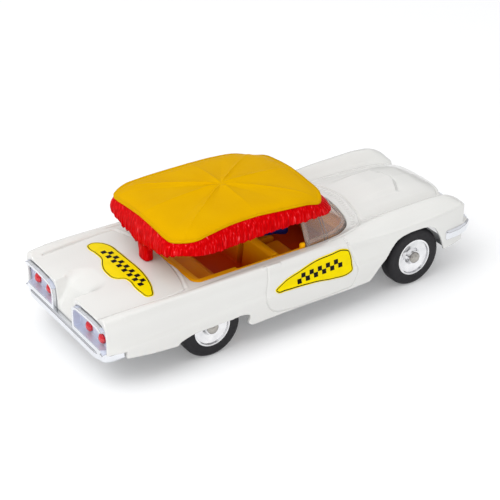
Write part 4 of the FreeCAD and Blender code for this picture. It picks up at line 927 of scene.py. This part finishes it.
leg_levels = [(25.6, 3.2, 1.0, 0.0), (24.2, 2.9, 1.0, 0.0), (22.0, 2.4, 1.05, 0.1),
              (20.0, 1.95, 1.1, 0.2), (19.0, 1.85, 1.2, 0.2), (18.5, 1.8, 1.15, 0.2),
              (18.27, 1.5, 0.9, 0.2)]
LEG_X = -30.1
CLIP_X = 9.55
leg = [rounded_box(LEG_X + ahead, 0, z, half_x, half_y) for z, half_y, half_x, ahead in leg_levels]
peg = [rounded_box(LEG_X, 0, z, 0.6, 1.0, 6.0) for z in (19.0, 17.45)]
clip = [rounded_box(CLIP_X, 0, z, 1.15, 2.5, 6.0) for z in (26.4, 25.47)]
skirt = [fringe()] + [loops_piece("part", rings) for rings in (leg, peg, clip)]
placed(merged("canopy_fringe_skirt", skirt), ["canopy_fringe"], "fringe_red", "canopy")

# Softened copies of the mouldings and the plated parts

tail = moulded("rear_bumper_panel", "rear_bumper_plated", 0.11, 4, 0.5, "plating")
moulded("front_bumper", "front_bumper_plated", 0.1, 4, 0.5, "plating")
moulded("windscreen", "windscreen_clear", 0.13, 6, 0.4, "clear_screen")
moulded("interior_tub", "interior_moulding", 0.16, 3, 0.4, "interior_yellow")
moulded("driver_figure", "driver_moulding", 0.1, 5, 0.5, "driver_blue")

POD_WALL = ((16.2, 17.5), (17.72, 18.38))
POD_WALL_FROM = 46.3
POD_WALL_OUT = 0.42
POD_CUT_SIDE = (16.9, 17.6)
POD_CUT_LEVELS = ((9.6, 10.4), (14.9, 15.6))
POD_CUT_FROM = (50.0, 51.5)
POD_CUT_BACK = 1.7
DISH_BACK = -51.35


def shape_pods(piece):
    """Moves the pods' outer walls out, cuts them back, and gives the floors a duller plate."""
    dressed(piece, finishes["plating"], lamp_dish)
    verts = verts_of(piece) / MM
    behind, across, high = -verts[:, 0], np.abs(verts[:, 1]), verts[:, 2]
    wall = band(*POD_WALL, across) * (behind > POD_WALL_FROM)
    recess = smooth_step(*POD_CUT_SIDE, across) * band(*POD_CUT_LEVELS, high)
    verts[:, 0] += POD_CUT_BACK * recess * smooth_step(*POD_CUT_FROM, behind)
    verts[:, 1] += np.sign(verts[:, 1]) * POD_WALL_OUT * wall
    set_verts(piece, verts * MM)
    low, far = pod_outline(-0.3).min(axis=0), pod_outline(-0.3).max(axis=0)
    in_dish = []
    for polygon in piece.data.polygons:
        spot = polygon.center / MM
        inside = low[0] < abs(spot.y) < far[0] and low[1] < spot.z < far[1]
        in_dish.append(int(inside and spot.x > DISH_BACK and polygon.normal.x < 0.3))
    piece.data.polygons.foreach_set("material_index", in_dish)


shape_pods(tail)

# Round pegs of the tub on the sills, each level as (z, half x, half y)

nub_levels = [(17.4, 0.7, 0.45), (18.8, 0.68, 0.43), (19.15, 0.5, 0.28)]
nubs = [loops_piece("nub", [rounded_box(2.6, way * 14.85, z, half_x, half_y)
                            for z, half_x, half_y in nub_levels]) for way in (1, -1)]
placed(merged("sill_nubs", nubs), [], "interior_yellow")

# Thick moulded edges of the windscreen, laid on the CAD node's own skin

screen = frame["nodes"]["windscreen"]
screen_skin = skin_tree([screen.matrix_world @ v.co / MM for v in screen.data.vertices], screen.data)
SCREEN_CENTRE_X = 4.4
SCREEN_TOP = 25.6
OUTSIDE = 40.0


def tube(points, radius):
    points = np.asarray(points, float)
    along = np.gradient(points, axis=0)
    along /= norm(along, axis=1)[:, None]
    angles = np.linspace(0, 2 * math.pi, 12, endpoint=False)
    rings = []
    for spot, way in zip(points, along):
        first = np.cross(way, (1.0, 0, 0) if abs(way[2]) > 0.8 else (0, 0, 1.0))
        first /= norm(first)
        second = np.cross(way, first)
        rings.append([spot + radius * (math.cos(angle) * first + math.sin(angle) * second)
                      for angle in angles])
    return loops_piece("tube", rings)


def wing_line(x, way):
    """Places up the outside of a windscreen wing at one X."""
    spots = []
    for z in np.arange(17.0, SCREEN_TOP, 0.25):
        hit = screen_skin.ray_cast(Vector((x, way * OUTSIDE, z)), Vector((0, -way, 0)))[0]
        if hit is None or hit.y * way < 5:
            break
        spots.append((hit.x, hit.y - way * 0.25, hit.z))
    return spots


def screen_line(levels):
    """Places round the windscreen, each at the first of the levels at which it stands."""
    spots = []
    for angle in np.radians(np.arange(-92, 93, 4)):
        way = Vector((math.cos(angle), math.sin(angle), 0))
        for z in levels:
            centre = Vector((SCREEN_CENTRE_X, 0, z))
            hit = screen_skin.ray_cast(centre + way * OUTSIDE, -way)[0]
            if hit is not None and (hit - centre).dot(way) > 4:
                spots.append(tuple(hit - way * 0.3))
                break
    return round_path(spots, 90)


beads = [tube(screen_line(np.arange(SCREEN_TOP, 16.0, -0.08)), 0.42), tube(screen_line([18.75]), 0.5)]
for x, radius in ((4.15, 0.6), (9.0, 0.2), (9.9, 0.2)):
    beads += [tube(wing_line(x, way), radius) for way in (1, -1)]
edges = placed(merged("windscreen_edges", beads), [], "clear_screen")
dressed(edges, clear_moulding("clear_edges", 0.8))

# Labels laid on the casting's skin, with a printed edge and a row of chequers

door_label_path = [(-8.1, 12.25), (-6.1, 13.9), (-1.4, 15.45), (3.0, 16.5), (7.5, 16.75), (11.6, 16.7),
                   (12.7, 16.2), (13.1, 15.0), (13.3, 12.6), (13.0, 11.0), (12.0, 10.55), (7.7, 10.6),
                   (3.2, 11.3), (-1.3, 11.6), (-5.7, 11.75), (-7.7, 11.9)]
boot_label_path = [(-38.0, 13.0), (-36.7, 13.4), (-35.0, 12.3), (-33.8, 9.9), (-33.5, 5.6),
                   (-33.4, 0.9), (-33.4, -3.6), (-34.0, -8.1), (-35.2, -12.1), (-36.6, -14.3),
                   (-37.6, -14.1), (-38.2, -11.9), (-38.3, -9.2), (-38.0, -6.6), (-38.4, -5.0),
                   (-39.4, -4.4), (-40.3, -3.2), (-40.5, -1.0), (-40.2, 1.6), (-39.4, 3.6),
                   (-38.5, 5.4), (-38.4, 8.7), (-38.6, 11.2)]

EDGE_MARGIN = 0.16
EDGE_LINE = 0.22
LABEL_LIFT = 0.12
PRINT_LIFT = 0.15


def on_skin(first, second, face, lift):
    """A place on the casting at (x, y) on its deck, or at (x, z) on its side: 1 is left, -1 is right."""
    if face == "deck":
        origin, way = Vector((first, second, OUTSIDE)), Vector((0, 0, -1))
    else:
        origin, way = Vector((first, face * OUTSIDE, second)), Vector((0, -face, 0))
    return tuple(body_skin.ray_cast(origin, way)[0] - way * lift)


def closed_path(points, count):
    """A smooth path through the points and back to the first, with count places."""
    whole = round_path(points[-2:] + points + points[:3], count * 8)
    away = norm(whole - points[0], axis=1)
    start = np.argmin(away[:count * 4])
    end = len(whole) - 1 - np.argmin(away[::-1][:count * 4])
    return round_path(whole[start:end], count + 1)[:-1]


def inset(loop, width):
    """The loop drawn in by a width, square to itself."""
    after = np.roll(loop, -1, axis=0)
    area = np.sum(loop[:, 0] * after[:, 1] - loop[:, 1] * after[:, 0])
    return loop - squares_out(loop) * width * (1 if area > 0 else -1)


def label(name, node, path, face, squares, size):
    """A thin sheet on the skin. Squares are the middles of the printed chequers."""
    count = 140
    loop = closed_path(path, count)
    edge = inset(loop, EDGE_MARGIN)
    inside = inset(edge, EDGE_LINE)
    middle = inside.mean(axis=0)
    flats = [loop, edge, inside] + [middle + (inside - middle) * share for share in (0.8, 0.6, 0.4, 0.2)]
    verts = [on_skin(*pair, face, 0.0) for pair in loop]
    for flat in flats + [[middle]]:
        verts += [on_skin(*pair, face, LABEL_LIFT) for pair in flat]
    starts = range(0, (len(flats) + 1) * count, count)
    faces = ring_faces(count, starts) + fan(count, starts[-1], len(verts) - 1)
    inks = [index // count == 2 for index in range(len(faces))]
    ring = [(-1, -1), (0, -1), (1, -1), (1, 0), (1, 1), (0, 1), (-1, 1), (-1, 0)]
    for centre in squares:
        faces += fan(8, len(verts), len(verts) + 8)
        inks += [True] * 8
        grid = np.array(centre) + np.array(ring + [(0, 0)]) * size / 2
        verts += [on_skin(*pair, face, PRINT_LIFT) for pair in grid]
    piece = placed(mesh_piece(name, verts, faces), [node], "label_yellow")
    dressed(piece, finishes["label_yellow"], label_ink)
    piece.data.polygons.foreach_set("material_index", [int(ink) for ink in inks])


def chequers(start, across, along, columns, size):
    """Middles of two rows of squares, every other one printed."""
    start, across, along = (np.array(item) for item in (start, across, along))
    return [start + (along * column + across * (column % 2 - 0.5)) * size for column in range(columns)]


DOOR_SQUARE = 1.15
BOOT_SQUARE = 1.2
door_squares = chequers((-1.6, 13.45), (0, 1), (0.9986, 0.05), 11, DOOR_SQUARE)
boot_squares = chequers((-35.95, -9.1), (1, 0), (0, 1), 15, BOOT_SQUARE)
label("door_sheet_left", "door_label_left", door_label_path, 1, door_squares, DOOR_SQUARE)
label("door_sheet_right", "door_label_right", door_label_path, -1, door_squares, DOOR_SQUARE)
label("boot_sheet", "boot_label", boot_label_path, "deck", boot_squares, BOOT_SQUARE)

# Carried-over nodes get their finishes

for row in frame["record"]["subparts"]:
    node = row["node"]
    if node in frame["nodes"]:
        dressed(frame["nodes"][node], finishes[row["material_slot"]])

# Stage: floor, light and camera. Lengths are in metres from here on.

FLOOR_GLOW = 0.14
FLOOR_REACH = 3.0
SKY_LEVELS = [(0.0, 0.16), (0.14, 0.22), (0.3, 0.6), (0.5, 0.86)]
SKY_LIGHT = 0.75


def stage_material():
    """A pale floor that takes shadows, and glows faintly to the camera, in metal and through glass."""
    material = bpy.data.materials.new("pale_floor")
    material.use_nodes = True
    tree = material.node_tree
    tree.nodes.clear()

    def maths(operation, first, second):
        """A sum over an output and another output or a number."""
        node = added(tree, "Math")
        node.operation = operation
        tree.links.new(first, node.inputs[0])
        if isinstance(second, float):
            node.inputs[1].default_value = second
        else:
            tree.links.new(second, node.inputs[1])
        return node.outputs[0]

    path = added(tree, "LightPath").outputs
    direct = maths("MAXIMUM", path["Is Camera Ray"], path["Is Glossy Ray"])
    direct = maths("MAXIMUM", direct, path["Is Transmission Ray"])
    glow = added(tree, "Emission", Color=(1, 1, 1, 1))
    tree.links.new(maths("MULTIPLY", direct, FLOOR_GLOW), glow.inputs["Strength"])
    diffuse = added(tree, "BsdfDiffuse", Color=(0.86, 0.865, 0.875, 1))
    both = added(tree, "AddShader")
    out = added(tree, "OutputMaterial")
    tree.links.new(diffuse.outputs[0], both.inputs[0])
    tree.links.new(glow.outputs[0], both.inputs[1])
    tree.links.new(both.outputs[0], out.inputs["Surface"])
    return material


corners = [(x * FLOOR_REACH, y * FLOOR_REACH, 0) for x, y in ((-1, -1), (1, -1), (1, 1), (-1, 1))]
floor = mesh_piece("floor", corners, [(0, 1, 2, 3)])
floor.data.materials.append(stage_material())


def soft_lamp(name, place, target, width, height, power):
    """A rectangular lamp that faces its target and isn't mirrored in shiny pieces."""
    lamp = bpy.data.lights.new(name, "AREA")
    lamp.shape = "RECTANGLE"
    lamp.size = width
    lamp.size_y = height
    lamp.energy = power
    holder = in_scene(name, lamp)
    holder.location = place
    holder.rotation_euler = (Vector(target) - Vector(place)).to_track_quat("-Z", "Y").to_euler()
    holder.visible_glossy = False


soft_lamp("key_light", (-0.30, 0.02, 0.75), (0, 0, 0), 0.9, 0.7, 1.45)
soft_lamp("near_light", (-0.30, -0.04, 0.34), (-0.045, 0, 0), 0.3, 0.3, 0.52)
soft_lamp("side_light", (-0.35, -0.65, 0.27), (0, 0, 0), 0.5, 0.4, 1.3)


def sky():
    """Even light all round. What the plating mirrors is greyer towards the horizon."""
    world = bpy.data.worlds.new("studio")
    bpy.context.scene.world = world
    world.use_nodes = True
    tree = world.node_tree
    backdrop = tree.nodes["Background"]
    backdrop.inputs["Strength"].default_value = 1.0
    height = height_in(tree, added(tree, "TexCoord").outputs["Generated"])
    greys = [(place, (level, level, level * 1.02, 1)) for place, level in SKY_LEVELS]
    glossy = added(tree, "LightPath").outputs["Is Glossy Ray"]
    light = blended(tree, glossy, (SKY_LIGHT, SKY_LIGHT, SKY_LIGHT, 1), ramped(tree, height, greys))
    tree.links.new(light, backdrop.inputs["Color"])


sky()

AZIMUTH = math.radians(-33.336)
ELEVATION = math.radians(29.745)
DISTANCE = 0.386191
TARGET = Vector((0.009245, 0.016936, 0.0))
camera_data = bpy.data.cameras.new("photo_camera")
camera_data.lens = 110.7
camera_data.sensor_width = 36.0
camera_data.clip_start = 0.01
camera_data.clip_end = 10.0
camera = in_scene("photo_camera", camera_data)
back = Vector((math.sin(AZIMUTH) * math.cos(ELEVATION), -math.cos(AZIMUTH) * math.cos(ELEVATION),
               math.sin(ELEVATION)))
camera.location = TARGET + back * DISTANCE
camera.rotation_euler = (-back).to_track_quat("-Z", "Y").to_euler()
bpy.context.scene.camera = camera

bpy.context.scene.view_settings.view_transform = "Standard"
